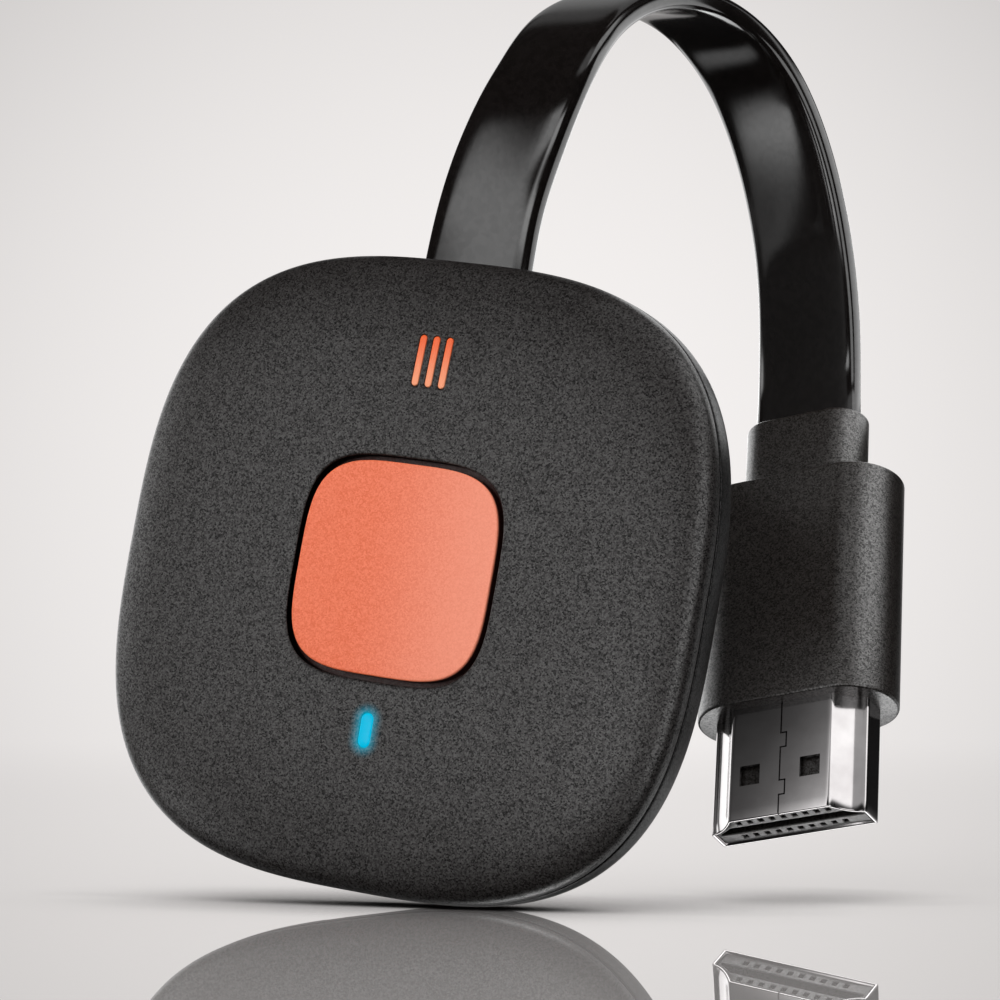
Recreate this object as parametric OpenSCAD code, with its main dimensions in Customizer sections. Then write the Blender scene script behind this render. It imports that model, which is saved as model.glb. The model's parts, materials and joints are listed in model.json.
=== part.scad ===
// Wireless display dongle: a domed squircle puck on a short flat lead with an HDMI plug.
// Millimetres. The origin is the middle of the plug's end face. The puck stands upright,
// its front towards -Y and its lead leaving the top, +Z. The plug hangs behind its right rim.

/* [Puck] */
// Width and height of the puck
puck_w = 52; // [50:0.5:60]
// Squareness of the puck's outline, where 2 is a circle
puck_square = 3; // [2.8:0.1:4]
// Height of the front dome above the seam
front_rise = 3.4; // [3.2:0.1:4.4]
// Flatness of the front dome, where 2 is an ellipse
front_flatness = 3.6; // [3.2:0.1:5]
// Depth of the back cover behind the seam
back_depth = 6.8; // [6.6:0.1:8.5]
// Flatness of the back cover, where 2 is an ellipse
back_flatness = 4; // [3.5:0.1:6]
// Height of the back's bulge that is cut off flat
back_cut = 0.2; // [0.15:0.05:0.4]
// Wall of both covers
cover_wall = 1.2; // [1:0.05:1.3]
// Width of the groove along the seam
groove_w = 0.3; // [0.2:0.05:0.5]
// Depth of the groove along the seam
groove_d = 0.35; // [0.2:0.05:0.5]
// Reach of the front cover's lip into the back cover
lip_reach = 1; // [0.8:0.05:1.1]
// Thickness of that lip
lip_t = 0.8; // [0.6:0.05:1]
// Play between pieces that fit into each other
fit_gap = 0.05; // [0.03:0.01:0.08]

/* [Button] */
// Width and height of the button
button_w = 17.4; // [15:0.1:18]
// Squareness of the button's outline
button_square = 3.8; // [3:0.1:5]
// Gap between the button and its opening
button_gap = 0.45; // [0.3:0.05:0.6]
// How far the button stands out of the dome
button_proud = 0.05; // [0:0.05:0.4]
// Bevel of the button's edge
button_bevel = 0.3; // [0.15:0.05:0.4]
// How far the button moves in
button_travel = 0.3; // [0.2:0.01:0.35]
// Width of the flange that holds the button in, beyond its opening
flange_w = 0.8; // [0.6:0.05:1]
// Thickness of that flange
flange_t = 0.6; // [0.5:0.05:0.8]
// Play of the flange in its guide frame
guide_gap = 0.1; // [0.08:0.01:0.15]
// Wall of the guide frame
guide_wall = 0.7; // [0.5:0.05:0.9]
// Diameter of the post that presses the switch
post_d = 3; // [2.4:0.1:3.8]
// Length of that post
post_l = 0.4; // [0.3:0.05:0.6]

/* [Switch] */
// Width of the switch body
switch_w = 4.5; // [4:0.1:6]
// Height of the switch body
switch_h = 1.6; // [1.5:0.05:1.8]
// Diameter of the plunger
plunger_d = 2; // [1.6:0.1:2.4]
// Height of the plunger above the switch
plunger_h = 0.45; // [0.4:0.01:0.6]
// Length of the plunger inside the switch
plunger_root = 0.6; // [0.5:0.05:0.7]

/* [Indicators] */
// Number of light slots
slot_count = 3; // [2:1:4]
// Width of one light slot
slot_w = 0.65; // [0.5:0.05:0.8]
// Length of the light slots
slot_l = 4.3; // [3.5:0.1:5]
// Spacing of the light slots
slot_pitch = 1.2; // [1.1:0.05:1.5]
// Height of the slots above the puck's middle, as a share of the puck's width
slot_up_share = 0.3308; // [0.318:0.001:0.345]
// Width of the status light
lamp_w = 1.1; // [0.8:0.05:1.5]
// Length of the status light
lamp_l = 2.8; // [2.4:0.1:3.4]
// Depth of the status light below the puck's middle, as a share of the puck's width
lamp_down_share = 0.252; // [0.249:0.001:0.288]
// Rim of both light guides behind the cover
guide_rim = 0.5; // [0.3:0.05:0.7]
// Thickness of the light guides behind the cover
guide_t = 0.8; // [0.6:0.05:1]
// Gap between a light guide and its lamp
lamp_gap = 0.1; // [0.05:0.05:0.2]

/* [Board] */
// Gap between the board's edge and the covers
board_gap = 0.45; // [0.3:0.05:0.8]
// Thickness of the board
board_t = 1; // [0.8:0.1:1.2]
// Distance of the screws in from the board's edge, along both axes
screw_inset = 8; // [7.6:0.1:8.4]
// Diameter of the screws
screw_d = 1.6; // [1.4:0.1:2]
// Length of the screws under the head
screw_l = 3.4; // [3:0.1:3.8]
// Diameter of the screw heads
screw_head_d = 3; // [2.6:0.1:3.4]
// Height of the screw heads
screw_head_h = 0.8; // [0.6:0.05:1]
// Diameter of the screw bosses
boss_d = 4; // [3.6:0.1:4.4]
// Width of the processor
chip_w = 13; // [11:0.5:14]
// Height of the processor
chip_h = 1.1; // [0.8:0.1:1.4]
// Width of the memory chip
memory_w = 9; // [8:0.5:9.5]
// Length of the memory chip
memory_l = 7.5; // [6:0.5:8]
// Height of the memory chip
memory_h = 1; // [0.8:0.1:1.2]
// Width of the radio's shield can
can_w = 11; // [10:0.5:11.5]
// Height of the radio's shield can
can_h = 1.8; // [1.5:0.1:2.2]
// Sheet of the shield can
can_sheet = 0.2; // [0.15:0.05:0.3]
// Width of the radio chip
radio_w = 6; // [5:0.5:7]
// Height of the radio chip
radio_h = 0.9; // [0.7:0.1:1.1]
// Gap between the processor and the shield can
can_gap = 1.5; // [1.2:0.1:2]
// Gap between the processor and the memory chip
memory_gap = 2; // [1.8:0.1:2.5]
// How far the memory chip's middle lies to the left of the processor's
memory_left = 2; // [0:0.1:3]
// Width of the heat spreader
spreader_w = 22; // [20:0.5:24]
// Thickness of the heat spreader
spreader_t = 0.6; // [0.5:0.1:0.8]
// Width of the thermal pad
pad_w = 12; // [10:0.5:12.5]
// Distance of the antenna's middle in from the board's edge
antenna_inset = 6; // [5.5:0.1:6.5]
// Length of the antenna
antenna_l = 14; // [12:0.5:15]
// Width of the antenna strip
antenna_w = 3; // [2.4:0.1:3.4]
// Height of the antenna above the board
antenna_h = 1.2; // [1:0.1:1.4]
// Sheet of the antenna
antenna_sheet = 0.25; // [0.2:0.05:0.3]

/* [Power inlet] */
// Width of the inlet shell
inlet_w = 7.5; // [7.3:0.1:7.8]
// Height of the inlet shell
inlet_h = 2.6; // [2.5:0.05:2.8]
// Depth of the inlet shell
inlet_l = 5.2; // [5:0.1:5.6]
// Sheet of the inlet shell
inlet_sheet = 0.3; // [0.25:0.05:0.35]
// Corner radius of the inlet shell
inlet_corner = 0.7; // [0.5:0.05:0.9]
// Gap around the inlet in the cover
inlet_gap = 0.25; // [0.15:0.05:0.4]
// How far the inlet's mouth lies inside the puck's outline
inlet_recess = 0.4; // [0.3:0.05:0.8]

/* [Lead] */
// Width of the flat lead
lead_w = 9.6; // [8.5:0.1:10]
// Thickness of the flat lead
lead_t = 2.1; // [1.8:0.05:2.1]
// Distance of the lead behind the seam where it leaves the puck
lead_back = 3; // [3:0.05:3.4]
// Distance of the lead to the left of the puck's middle there
lead_left = 0.4; // [0:0.1:1]
// Wall of the rubber gland around the lead
gland_wall = 0.7; // [0.5:0.05:0.8]
// Width of the gland's shoulders inside the cover
gland_shoulder = 1.2; // [0.8:0.1:1.6]
// Height of those shoulders
gland_shoulder_h = 0.7; // [0.6:0.05:0.8]
// Thickness of those shoulders
gland_shoulder_t = 1.1; // [0.9:0.05:1.2]
// How far the gland stands out of the puck
gland_proud = 0.1; // [0.05:0.05:0.3]
// Gap between the lead's socket and the back cover
socket_gap = 0.3; // [0.2:0.05:0.5]
// Width of the lead's socket on the board
socket_w = 11.6; // [11:0.1:13]
// Length of that socket
socket_l = 3.6; // [3:0.1:4]
// Height of that socket
socket_h = 2.4; // [2.3:0.05:2.5]

/* [Plug body] */
// Width of the moulded plug body
body_w = 17.6; // [17.4:0.1:20]
// Thickness of the plug body
body_t = 8.6; // [8.5:0.1:10]
// Length of the plug body
body_l = 21.3; // [20:0.1:24]
// How far the body's middle lies behind the shell's middle
body_back = 0.9; // [0.8:0.05:1]
// Thickness of the body's floor around the shell
body_floor = 1.2; // [1:0.1:1.6]
// Width of the strain relief
neck_w = 11; // [10.8:0.1:12]
// Thickness of the strain relief
neck_t = 5.3; // [5:0.1:6]
// Length of the strain relief
neck_l = 6.7; // [5.5:0.1:8]
// Width of the metal shroud inside the body
shroud_w = 14.6; // [14.5:0.05:14.8]
// Thickness of the metal shroud
shroud_t = 6.3; // [6.1:0.05:6.5]
// Sheet of the metal shroud
shroud_sheet = 0.3; // [0.2:0.05:0.3]
// Length of the inner mould
mould_l = 9; // [7:0.5:10]

/* [Plug shell] */
// Width of the shell
shell_w = 13.9; // [13.8:0.05:14]
// Thickness of the shell
shell_t = 4.45; // [4.4:0.01:4.55]
// Height of the shell's straight sides
shell_side = 2.6; // [2.4:0.05:2.8]
// Width of the shell's narrow face
shell_narrow = 9; // [8.6:0.1:9.4]
// Length of the shell outside the body
shell_l = 10.2; // [10:0.1:12]
// Length of the shell inside the body
shell_root = 3; // [2.5:0.1:3.5]
// Sheet of the shell
shell_sheet = 0.3; // [0.25:0.01:0.35]
// Width of the seam down the narrow face
seam_w = 0.08; // [0.06:0.01:0.12]
// Depth of the seam's locking tabs
tab_d = 0.5; // [0.4:0.05:0.7]
// Length of the locking tabs
tab_l = 1.3; // [1:0.1:1.6]
// Distance of the first tab from the end face
tab_low = 1.75; // [1.5:0.05:2]
// Distance of the second tab from the end face
tab_high = 6.05; // [5.5:0.05:6.5]
// Width of the latch windows
window_w = 1.8; // [1.5:0.05:2]
// Distance between the middles of the latch windows
window_apart = 5.4; // [5:0.1:5.6]
// Distance of the latch windows from the end face
window_up = 3.95; // [3.5:0.05:4.5]
// How far the insulator lies inside the end face
face_recess = 0.2; // [0.1:0.05:0.4]
// Width of the slot for the socket's tongue
mouth_w = 12.8; // [12.6:0.05:12.9]
// Thickness of that slot
mouth_t = 1.2; // [1.1:0.05:1.3]
// Depth of that slot
mouth_l = 8.5; // [7.5:0.1:9]
// Spacing of the contacts
contact_pitch = 1; // [1:0.01:1.02]
// Number of contacts on the narrow side
contacts_narrow_count = 9; // [7:1:9]
// Number of contacts on the wide side
contacts_wide_count = 10; // [8:1:10]
// Width of a contact's cavity
cavity_w = 0.5; // [0.4:0.05:0.6]
// Thickness of a contact's cavity
cavity_t = 0.65; // [0.5:0.05:0.7]
// Distance of both contact rows from the slot's middle
row_off = 1.2; // [1.15:0.01:1.25]

/* [Pose] */
// Place of the puck's middle, on its seam plane, to the right of the plug's end face
puck_x = -29.5; // [-32:0.5:-28]
// Place of the puck's middle behind the plug's end face
puck_y = -17; // [-20:0.5:-16]
// Place of the puck's middle above the plug's end face
puck_z = 14.5; // [12:0.5:17]
// Turn of the plug about X, its lower end swung forward
plug_pitch = -18.5; // [-22:0.5:-15]
// Turn of the plug about Y, its upper end leaning to the left
plug_lean = -17; // [-20:0.5:-14]
// Turn of the plug about Z
plug_turn = -4; // [-8:0.5:0]

/* [Hidden] */

// Overrun of every cut past the faces it opens
over = 1;
// Points around a squircle
outline_steps = 64;
// Sides of a drawn circle
round_steps = 32;

// Puck, in its own frame: the middle of the seam plane is its zero
half = puck_w / 2;
in_half = half - cover_wall;
lip_out = in_half - fit_gap;
lip_in = lip_out - lip_t;
in_rise = front_rise - cover_wall;
full_depth = back_depth + back_cut;
in_depth = full_depth - cover_wall;
floor_y = back_depth - cover_wall;
// Share of the outline's size at which the front dome turns flat
front_flat_share = 0.4;
// Rings of a dome from its rim to its flat middle, as shares of that way
ring_shares = [1, 0.9995, 0.985, 0.95, 0.89, 0.8, 0.66, 0.46, 0.22, 0];

// Height share of a dome at a share of its outline's size
function dome(s, m) = pow(max(0, 1 - pow(s, m)), 1 / m);
// Share of the outline's size at which a dome has a height share
function dome_at(h, m) = pow(max(0, 1 - pow(h, m)), 1 / m);
// Size of the squircle on which a place lies
function squircle_size(x, z) = pow(pow(abs(x), puck_square) + pow(abs(z), puck_square), 1 / puck_square);
function squircle(r, n) = [for (i = [0:outline_steps - 1])
    let (c = cos(360 * i / outline_steps), s = sin(360 * i / outline_steps))
    r * pow(pow(abs(c), n) + pow(abs(s), n), -1 / n) * [c, s]];
// Depth of the front cover's outer and inner faces at a place
function front_y(x, z) = -front_rise * dome(max(front_flat_share, squircle_size(x, z) / half), front_flatness);
function front_in_y(x, z) =
    -in_rise * dome(max(front_flat_share, squircle_size(x, z) / in_half), front_flatness);
// Depth of the back cover's inner face at a place
function back_in_y(x, z) = min(floor_y, in_depth * dome(squircle_size(x, z) / in_half, back_flatness));
// Height of the back cover's inner face above a place on the board's back
function back_in_z(x, y) =
    pow(pow(in_half * dome_at(y / in_depth, back_flatness), puck_square) - pow(x, puck_square), 1 / puck_square);

face_y = front_y(0, 0);
face_in_y = front_in_y(0, 0);
opening_w = button_w + 2 * button_gap;
flange_full_w = opening_w + 2 * flange_w;
flange_corner = flange_full_w / 2 * pow(2, -1 / button_square);
flange_front = front_in_y(flange_corner, flange_corner) + fit_gap;
flange_back = flange_front + flange_t;
post_end = flange_back + post_l;
switch_y = post_end + plunger_h;
board_y = switch_y + switch_h;
board_back = board_y + board_t;
board_half = lip_in - board_gap;
screw_at = board_half - screw_inset;
led_w = slot_w;
led_h = 0.5;
led_y = board_y - led_h;
guide_end = led_y - lamp_gap;
slot_span = (slot_count - 1) * slot_pitch;
slot_up = puck_w * slot_up_share;
lamp_down = puck_w * lamp_down_share;
inlet_y = board_back + inlet_h / 2;
inlet_z = -half + inlet_recess;
gland_z = half + gland_proud;
gland_w = lead_w + 2 * gland_wall;
gland_t = lead_t + 2 * gland_wall;
gland_front = lead_back - gland_t / 2;
shoulder_top = back_in_z(gland_w / 2 + gland_shoulder + lead_left, gland_front + gland_shoulder_t)
    - 2 * fit_gap;
shoulder_low = shoulder_top - gland_shoulder_h;
socket_top = back_in_z(socket_w / 2 + lead_left, board_back + socket_h) - socket_gap;
spreader_y = floor_y - spreader_t;
chip_x = -2.5;
chip_z = -3;
can_x = chip_x + chip_w / 2 + can_gap + can_w / 2;
can_z = chip_z + chip_w / 2;
memory_x = chip_x - memory_left;
memory_z = chip_z + chip_w / 2 + memory_gap + memory_l / 2;
antenna_x = antenna_inset - board_half;

// Plug, in its own frame: the middle of the end face is its zero, the shell runs up +Z
body_low = shell_l;
body_top = shell_l + body_l;
neck_top = body_top + neck_l;
shell_top = shell_l + shell_root;
cavity_low = body_low + body_floor;
cavity_high = body_top - body_floor;
mould_low = cavity_high - mould_l;
contact_end = shell_top + fit_gap * 20;

// Route of the flat lead: guide points of a smooth cubic curve. Its first two follow the
// gland and its last two the strain relief
lead_rise = 7;
lead_fall = 5.5;
lead_route = [[-26.3, -15.9, 57.4], [-26.7, -9.4, 64.6], [-23.9, 2.1, 69.3], [-17.8, 10.3, 64.2],
    [-11.5, 11.5, 49.8]];
// Turn of the lead's width half way along, added to the even turn from one end to the other
lead_turn_shares = [-0.43, -0.17, -0.12];
// Rings along the lead
lead_rings = 44;
// Half of the lead's outline, as shares of its half width and half thickness
lead_edge_shares = [[0.81, 1], [0.93, 0.78], [1, 0.34]];

// A point turned as rotate([plug_pitch, plug_lean, plug_turn]) turns it
function turn_x(p, a) = [p[0], p[1] * cos(a) - p[2] * sin(a), p[1] * sin(a) + p[2] * cos(a)];
function turn_y(p, a) = [p[0] * cos(a) + p[2] * sin(a), p[1], p[2] * cos(a) - p[0] * sin(a)];
function turn_z(p, a) = [p[0] * cos(a) - p[1] * sin(a), p[0] * sin(a) + p[1] * cos(a), p[2]];
function plug_point(p) = turn_z(turn_y(turn_x(p, plug_pitch), plug_lean), plug_turn);

lead_start = [puck_x - lead_left, puck_y + lead_back, puck_z + gland_z];
lead_end = plug_point([0, body_back, neck_top]);
lead_guides = concat([lead_start, lead_start + [0, 0, lead_rise]], lead_route,
    [lead_end + plug_point([0, 0, lead_fall]), lead_end]);
lead_count = len(lead_guides);
// The curve's own control points, with one mirrored past each end so that it meets both ends
lead_knots = concat([2 * lead_guides[0] - lead_guides[1]], lead_guides,
    [2 * lead_guides[lead_count - 1] - lead_guides[lead_count - 2]]);
function knot_weights(v) = [pow(1 - v, 3), 3 * pow(v, 3) - 6 * pow(v, 2) + 4,
    3 * v + 3 * pow(v, 2) - 3 * pow(v, 3) + 1, pow(v, 3)] / 6;
function knot_slopes(v) = [-pow(1 - v, 2), 3 * pow(v, 2) - 4 * v, 1 + 2 * v - 3 * pow(v, 2), pow(v, 2)] / 2;
function lead_sum(i, w) = w[0] * lead_knots[i] + w[1] * lead_knots[i + 1] + w[2] * lead_knots[i + 2]
    + w[3] * lead_knots[i + 3];
function lead_cell(u) = min(lead_count - 2, floor(u * (lead_count - 1)));
function lead_at(u) = lead_sum(lead_cell(u), knot_weights(u * (lead_count - 1) - lead_cell(u)));
function unit(v) = v / norm(v);
function lead_way(u) = unit(lead_sum(lead_cell(u), knot_slopes(u * (lead_count - 1) - lead_cell(u))));
// Direction of the lead's width, turning from the puck's slot to the plug's
function lead_across(u) =
    let (t = lead_way(u),
        w = (1 - u) * [1, 0, 0] + u * plug_point([1, 0, 0]) + 4 * u * (1 - u) * lead_turn_shares)
    unit(w - (w * t) * t);
lead_quarter = [for (s = lead_edge_shares) [s[0] * lead_w / 2, s[1] * lead_t / 2]];
lead_outline = concat(
    [for (i = [2:-1:0]) lead_quarter[i]],
    [for (i = [0:2]) [-lead_quarter[i][0], lead_quarter[i][1]]],
    [for (i = [2:-1:0]) -lead_quarter[i]],
    [for (i = [0:2]) [lead_quarter[i][0], -lead_quarter[i][1]]]);

// Helpers

// Closed solid through squircles given as [half size, y], with flat ends
module squircle_loft(rings) {
    k = outline_steps;
    points = [for (r = rings) for (p = squircle(r[0], puck_square)) [p[0], r[1], p[1]]];
    sides = [for (j = [0:len(rings) - 2]) for (i = [0:k - 1])
        let (a = j * k + i, b = j * k + (i + 1) % k) each [[a, b, b + k], [a, b + k, a + k]]];
    first = [for (i = [k - 1:-1:0]) i];
    last = [for (i = [0:k - 1]) (len(rings) - 1) * k + i];
    polyhedron(points, concat([first, last], sides));
}

// Prism of a flat outline drawn in x and z, from y0 back to y1
module along_y(y0, y1) {
    translate([0, y1, 0]) rotate([90, 0, 0]) linear_extrude(y1 - y0) children();
}

module rod_y(d, y0, y1) {
    along_y(y0, y1) circle(d = d, $fn = round_steps);
}

// Box given by its middle in x and z, its size in x and z, and its two depths
module block(x, z, w, l, y0, y1) {
    translate([x - w / 2, y0, z - l / 2]) cube([w, y1 - y0, l]);
}

module round_rect(w, h, r) {
    square([w - 2 * r, h], center = true);
    square([w, h - 2 * r], center = true);
    for (x = [-1, 1], y = [-1, 1]) translate([x * (w / 2 - r), y * (h / 2 - r)])
        circle(r = r, $fn = round_steps);
}

// Slot shape with round ends, w by t, t the smaller
module slot_shape(w, t) {
    square([w - t, t], center = true);
    for (x = [-1, 1]) translate([x * (w - t) / 2, 0]) circle(d = t, $fn = round_steps);
}

module at_puck() {
    translate([puck_x, puck_y, puck_z]) children();
}

module at_plug() {
    rotate([plug_pitch, plug_lean, plug_turn]) children();
}

module at_screws() {
    for (x = [-1, 1], z = [-1, 1]) translate([x * screw_at, 0, z * screw_at]) children();
}

// Middle of the lead where it leaves the puck
module at_exit() {
    translate([-lead_left, lead_back, 0]) children();
}

module light_slots(grow) {
    for (i = [0:slot_count - 1]) translate([i * slot_pitch - slot_span / 2, slot_up])
        rotate(90) slot_shape(slot_l + 2 * grow, slot_w + 2 * grow);
}

module lamp_shape(grow) {
    translate([0, -lamp_down]) rotate(90) slot_shape(lamp_l + 2 * grow, lamp_w + 2 * grow);
}

// Openings that the lead and the power inlet need through the covers
module lead_opening() {
    at_exit() translate([0, 0, shoulder_low - gland_wall]) linear_extrude(half)
        slot_shape(gland_w + 2 * fit_gap, gland_t + 2 * fit_gap);
}

module inlet_opening() {
    translate([0, inlet_y, -half - over]) linear_extrude(inlet_l)
        round_rect(inlet_w + 2 * inlet_gap, inlet_h + 2 * inlet_gap, inlet_corner + inlet_gap);
}

// Block whose front face slopes with the dome between two heights, for pieces flush with it
module under_dome(z0, z1) {
    y0 = front_y(0, z0);
    y1 = front_y(0, z1);
    translate([0, y0, z0]) rotate([-atan2(y1 - y0, z1 - z0), 0, 0])
        translate([-half, 0, -half]) cube([puck_w, puck_w, puck_w]);
}

// Puck

module front_cover() {
    outer = [for (i = [len(ring_shares) - 1:-1:0])
        let (s = front_flat_share + (1 - front_flat_share) * ring_shares[i])
        [s * half, -front_rise * dome(s, front_flatness)]];
    lip_share = lip_in / in_half;
    inner = [for (q = ring_shares)
        let (s = front_flat_share + (lip_share - front_flat_share) * q)
        [s * in_half, -in_rise * dome(s, front_flatness)]];
    frame_in = flange_full_w / 2 + guide_gap;
    color([0.17, 0.16, 0.16]) at_puck() {
        difference() {
            squircle_loft(concat(outer, [[lip_out, 0], [lip_out, lip_reach], [lip_in, lip_reach]], inner));
            along_y(-front_rise - over, over) polygon(squircle(opening_w / 2, button_square));
            along_y(-front_rise - over, over) light_slots(fit_gap / 2);
            along_y(-front_rise - over, over) lamp_shape(fit_gap / 2);
            lead_opening();
            inlet_opening();
        }
        along_y(face_in_y, flange_back + button_travel) difference() {
            polygon(squircle(frame_in + guide_wall, button_square));
            polygon(squircle(frame_in, button_square));
        }
    }
}

module back_cover() {
    in_flat = dome_at(floor_y / in_depth, back_flatness);
    out_flat = dome_at(back_depth / full_depth, back_flatness);
    inner = [for (i = [len(ring_shares) - 1:-1:0])
        let (s = in_flat + (1 - in_flat) * ring_shares[i]) [s * in_half, in_depth * dome(s, back_flatness)]];
    outer = [for (i = [1:len(ring_shares) - 1])
        let (s = out_flat + (1 - out_flat) * ring_shares[i]) [s * half, full_depth * dome(s, back_flatness)]];
    boss_end = back_in_y(screw_at, screw_at) + cover_wall / 3;
    color([0.10, 0.10, 0.10]) at_puck() difference() {
        union() {
            squircle_loft(concat(inner, [[half - groove_d, 0], [half - groove_d, groove_w], [half, groove_w]],
                outer));
            at_screws() rod_y(boss_d, board_back, boss_end);
        }
        at_screws() rod_y(screw_d, board_back - over, board_y + screw_l + fit_gap);
        lead_opening();
        inlet_opening();
    }
}

module mode_button() {
    top = face_y - button_proud;
    bevel_y = top + button_bevel;
    color([0.92, 0.42, 0.26]) at_puck() {
        hull() {
            along_y(bevel_y, flange_front) polygon(squircle(button_w / 2, button_square));
            along_y(top, flange_front) polygon(squircle(button_w / 2 - button_bevel, button_square));
        }
        along_y(flange_front, flange_back) polygon(squircle(flange_full_w / 2, button_square));
        rod_y(post_d, flange_back, post_end);
    }
}

module slot_light_guide() {
    z0 = slot_up - slot_l / 2;
    z1 = slot_up + slot_l / 2;
    plate_w = slot_span + slot_w + 2 * guide_rim;
    plate_l = slot_l + 2 * guide_rim;
    plate_y = front_in_y(plate_w / 2, z1 + guide_rim) + fit_gap;
    color([0.95, 0.42, 0.20]) at_puck() {
        intersection() {
            along_y(-front_rise - over, plate_y) light_slots(0);
            under_dome(z0, z1);
        }
        block(0, slot_up, plate_w, plate_l, plate_y, guide_end);
    }
}

module status_light_pipe() {
    z0 = -lamp_down - lamp_l / 2;
    z1 = -lamp_down + lamp_l / 2;
    rim_y = front_in_y(lamp_w, z0 - guide_rim) + fit_gap;
    color([0.15, 0.75, 0.92]) at_puck() {
        intersection() {
            along_y(-front_rise - over, guide_end) lamp_shape(0);
            under_dome(z0, z1);
        }
        along_y(rim_y, rim_y + guide_t) lamp_shape(guide_rim);
    }
}

module main_board() {
    color([0.05, 0.30, 0.16]) at_puck() difference() {
        along_y(board_y, board_back) polygon(squircle(board_half, puck_square));
        at_screws() rod_y(screw_d + 2 * fit_gap, board_y - over, board_back + over);
    }
}

module tact_switch() {
    leg_w = 0.6;
    leg_l = 0.7;
    leg_h = 0.3;
    color([0.20, 0.20, 0.21]) at_puck() {
        difference() {
            block(0, 0, switch_w, switch_w, switch_y, board_y);
            rod_y(plunger_d + 2 * fit_gap, switch_y - over, switch_y + plunger_root + button_travel + fit_gap * 2);
        }
        for (x = [-1, 1], z = [-1, 1])
            block(x * (switch_w / 2 + leg_l / 2), z * switch_w / 3, leg_l, leg_w, board_y - leg_h, board_y);
    }
}

module switch_plunger() {
    color([0.88, 0.86, 0.80]) at_puck() rod_y(plunger_d, post_end, switch_y + plunger_root);
}

module status_led() {
    color([0.90, 0.95, 0.95]) at_puck() block(0, -lamp_down, led_w, lamp_l / 2, led_y, board_y);
}

module slot_leds() {
    color([0.95, 0.85, 0.70]) at_puck() for (i = [0:slot_count - 1])
        block(i * slot_pitch - slot_span / 2, slot_up, led_w, slot_l / 4, led_y, board_y);
}

module processor_chip() {
    color([0.08, 0.08, 0.09]) at_puck() block(chip_x, chip_z, chip_w, chip_w, board_back, board_back + chip_h);
}

module memory_chip() {
    color([0.09, 0.09, 0.10]) at_puck()
        block(memory_x, memory_z, memory_w, memory_l, board_back, board_back + memory_h);
}

module radio_chip() {
    color([0.08, 0.08, 0.10]) at_puck() block(can_x, can_z, radio_w, radio_w, board_back, board_back + radio_h);
}

module radio_shield() {
    in_w = can_w - 2 * can_sheet;
    color([0.72, 0.73, 0.74]) at_puck() difference() {
        block(can_x, can_z, can_w, can_w, board_back, board_back + can_h);
        block(can_x, can_z, in_w, in_w, board_back - over, board_back + can_h - can_sheet);
    }
}

module clock_crystal() {
    crystal_w = 3.2;
    crystal_l = 2.5;
    crystal_h = 0.7;
    color([0.78, 0.76, 0.70]) at_puck()
        block(chip_x - chip_w / 2 - crystal_w, chip_z, crystal_w, crystal_l, board_back, board_back + crystal_h);
}

module power_coils() {
    coil_w = 3;
    coil_h = 1.2;
    coil_step_share = 1.5;
    color([0.22, 0.21, 0.20]) at_puck() for (i = [0:1])
        block(chip_x + chip_w / 2 + coil_w * (1 + coil_step_share * i), chip_z - chip_w / 3, coil_w, coil_w,
            board_back, board_back + coil_h);
}

module capacitors() {
    cap_w = 1;
    cap_l = 0.5;
    cap_h = 0.5;
    cap_pitch = 1.4;
    cap_row = 6;
    color([0.62, 0.50, 0.36]) at_puck() for (i = [0:cap_row - 1], z = [-1, 1])
        block(chip_x + (i - (cap_row - 1) / 2) * cap_pitch, chip_z + z * (chip_w / 2 + cap_w), cap_l, cap_w,
            board_back, board_back + cap_h);
}

module heat_spreader() {
    color([0.75, 0.76, 0.77]) at_puck() along_y(spreader_y, floor_y)
        polygon(squircle(spreader_w / 2, puck_square));
}

module thermal_pad() {
    color([0.55, 0.62, 0.70]) at_puck() block(chip_x, chip_z, pad_w, pad_w, board_back + chip_h, spreader_y);
}

module antenna() {
    leg = antenna_sheet;
    color([0.80, 0.66, 0.35]) at_puck() {
        block(antenna_x, 0, antenna_w, antenna_l, board_y - antenna_h, board_y - antenna_h + antenna_sheet);
        for (z = [-1, 1]) block(antenna_x, z * (antenna_l - leg) / 2, antenna_w / 2, leg, board_y - antenna_h,
            board_y);
    }
}

module board_screws() {
    cross_w = screw_d / 4;
    cross_l = screw_head_d * 0.6;
    color([0.70, 0.70, 0.72]) at_puck() at_screws() difference() {
        union() {
            rod_y(screw_head_d, board_y - screw_head_h, board_y);
            rod_y(screw_d, board_y - screw_head_h / 3, board_y + screw_l);
        }
        block(0, 0, cross_w, cross_l, board_y - screw_head_h - over, board_y - screw_head_h / 2);
        block(0, 0, cross_l, cross_w, board_y - screw_head_h - over, board_y - screw_head_h / 2);
    }
}

module power_inlet_shell() {
    color([0.74, 0.75, 0.76]) at_puck() translate([0, inlet_y, inlet_z]) linear_extrude(inlet_l) difference() {
        round_rect(inlet_w, inlet_h, inlet_corner);
        round_rect(inlet_w - 2 * inlet_sheet, inlet_h - 2 * inlet_sheet, inlet_corner - inlet_sheet);
    }
}

inlet_base_l = 1.4;
inlet_tongue_w = 3.7;
inlet_tongue_t = 0.6;

module power_inlet_tongue() {
    in_w = inlet_w - 2 * inlet_sheet;
    in_h = inlet_h - 2 * inlet_sheet;
    color([0.12, 0.12, 0.13]) at_puck() translate([0, inlet_y, inlet_z]) {
        translate([0, 0, inlet_l - inlet_base_l]) linear_extrude(inlet_base_l)
            round_rect(in_w, in_h, inlet_corner - inlet_sheet);
        translate([-inlet_tongue_w / 2, -inlet_tongue_t / 2, inlet_sheet * 2])
            cube([inlet_tongue_w, inlet_tongue_t, inlet_l - inlet_base_l - inlet_sheet * 2]);
    }
}

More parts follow.
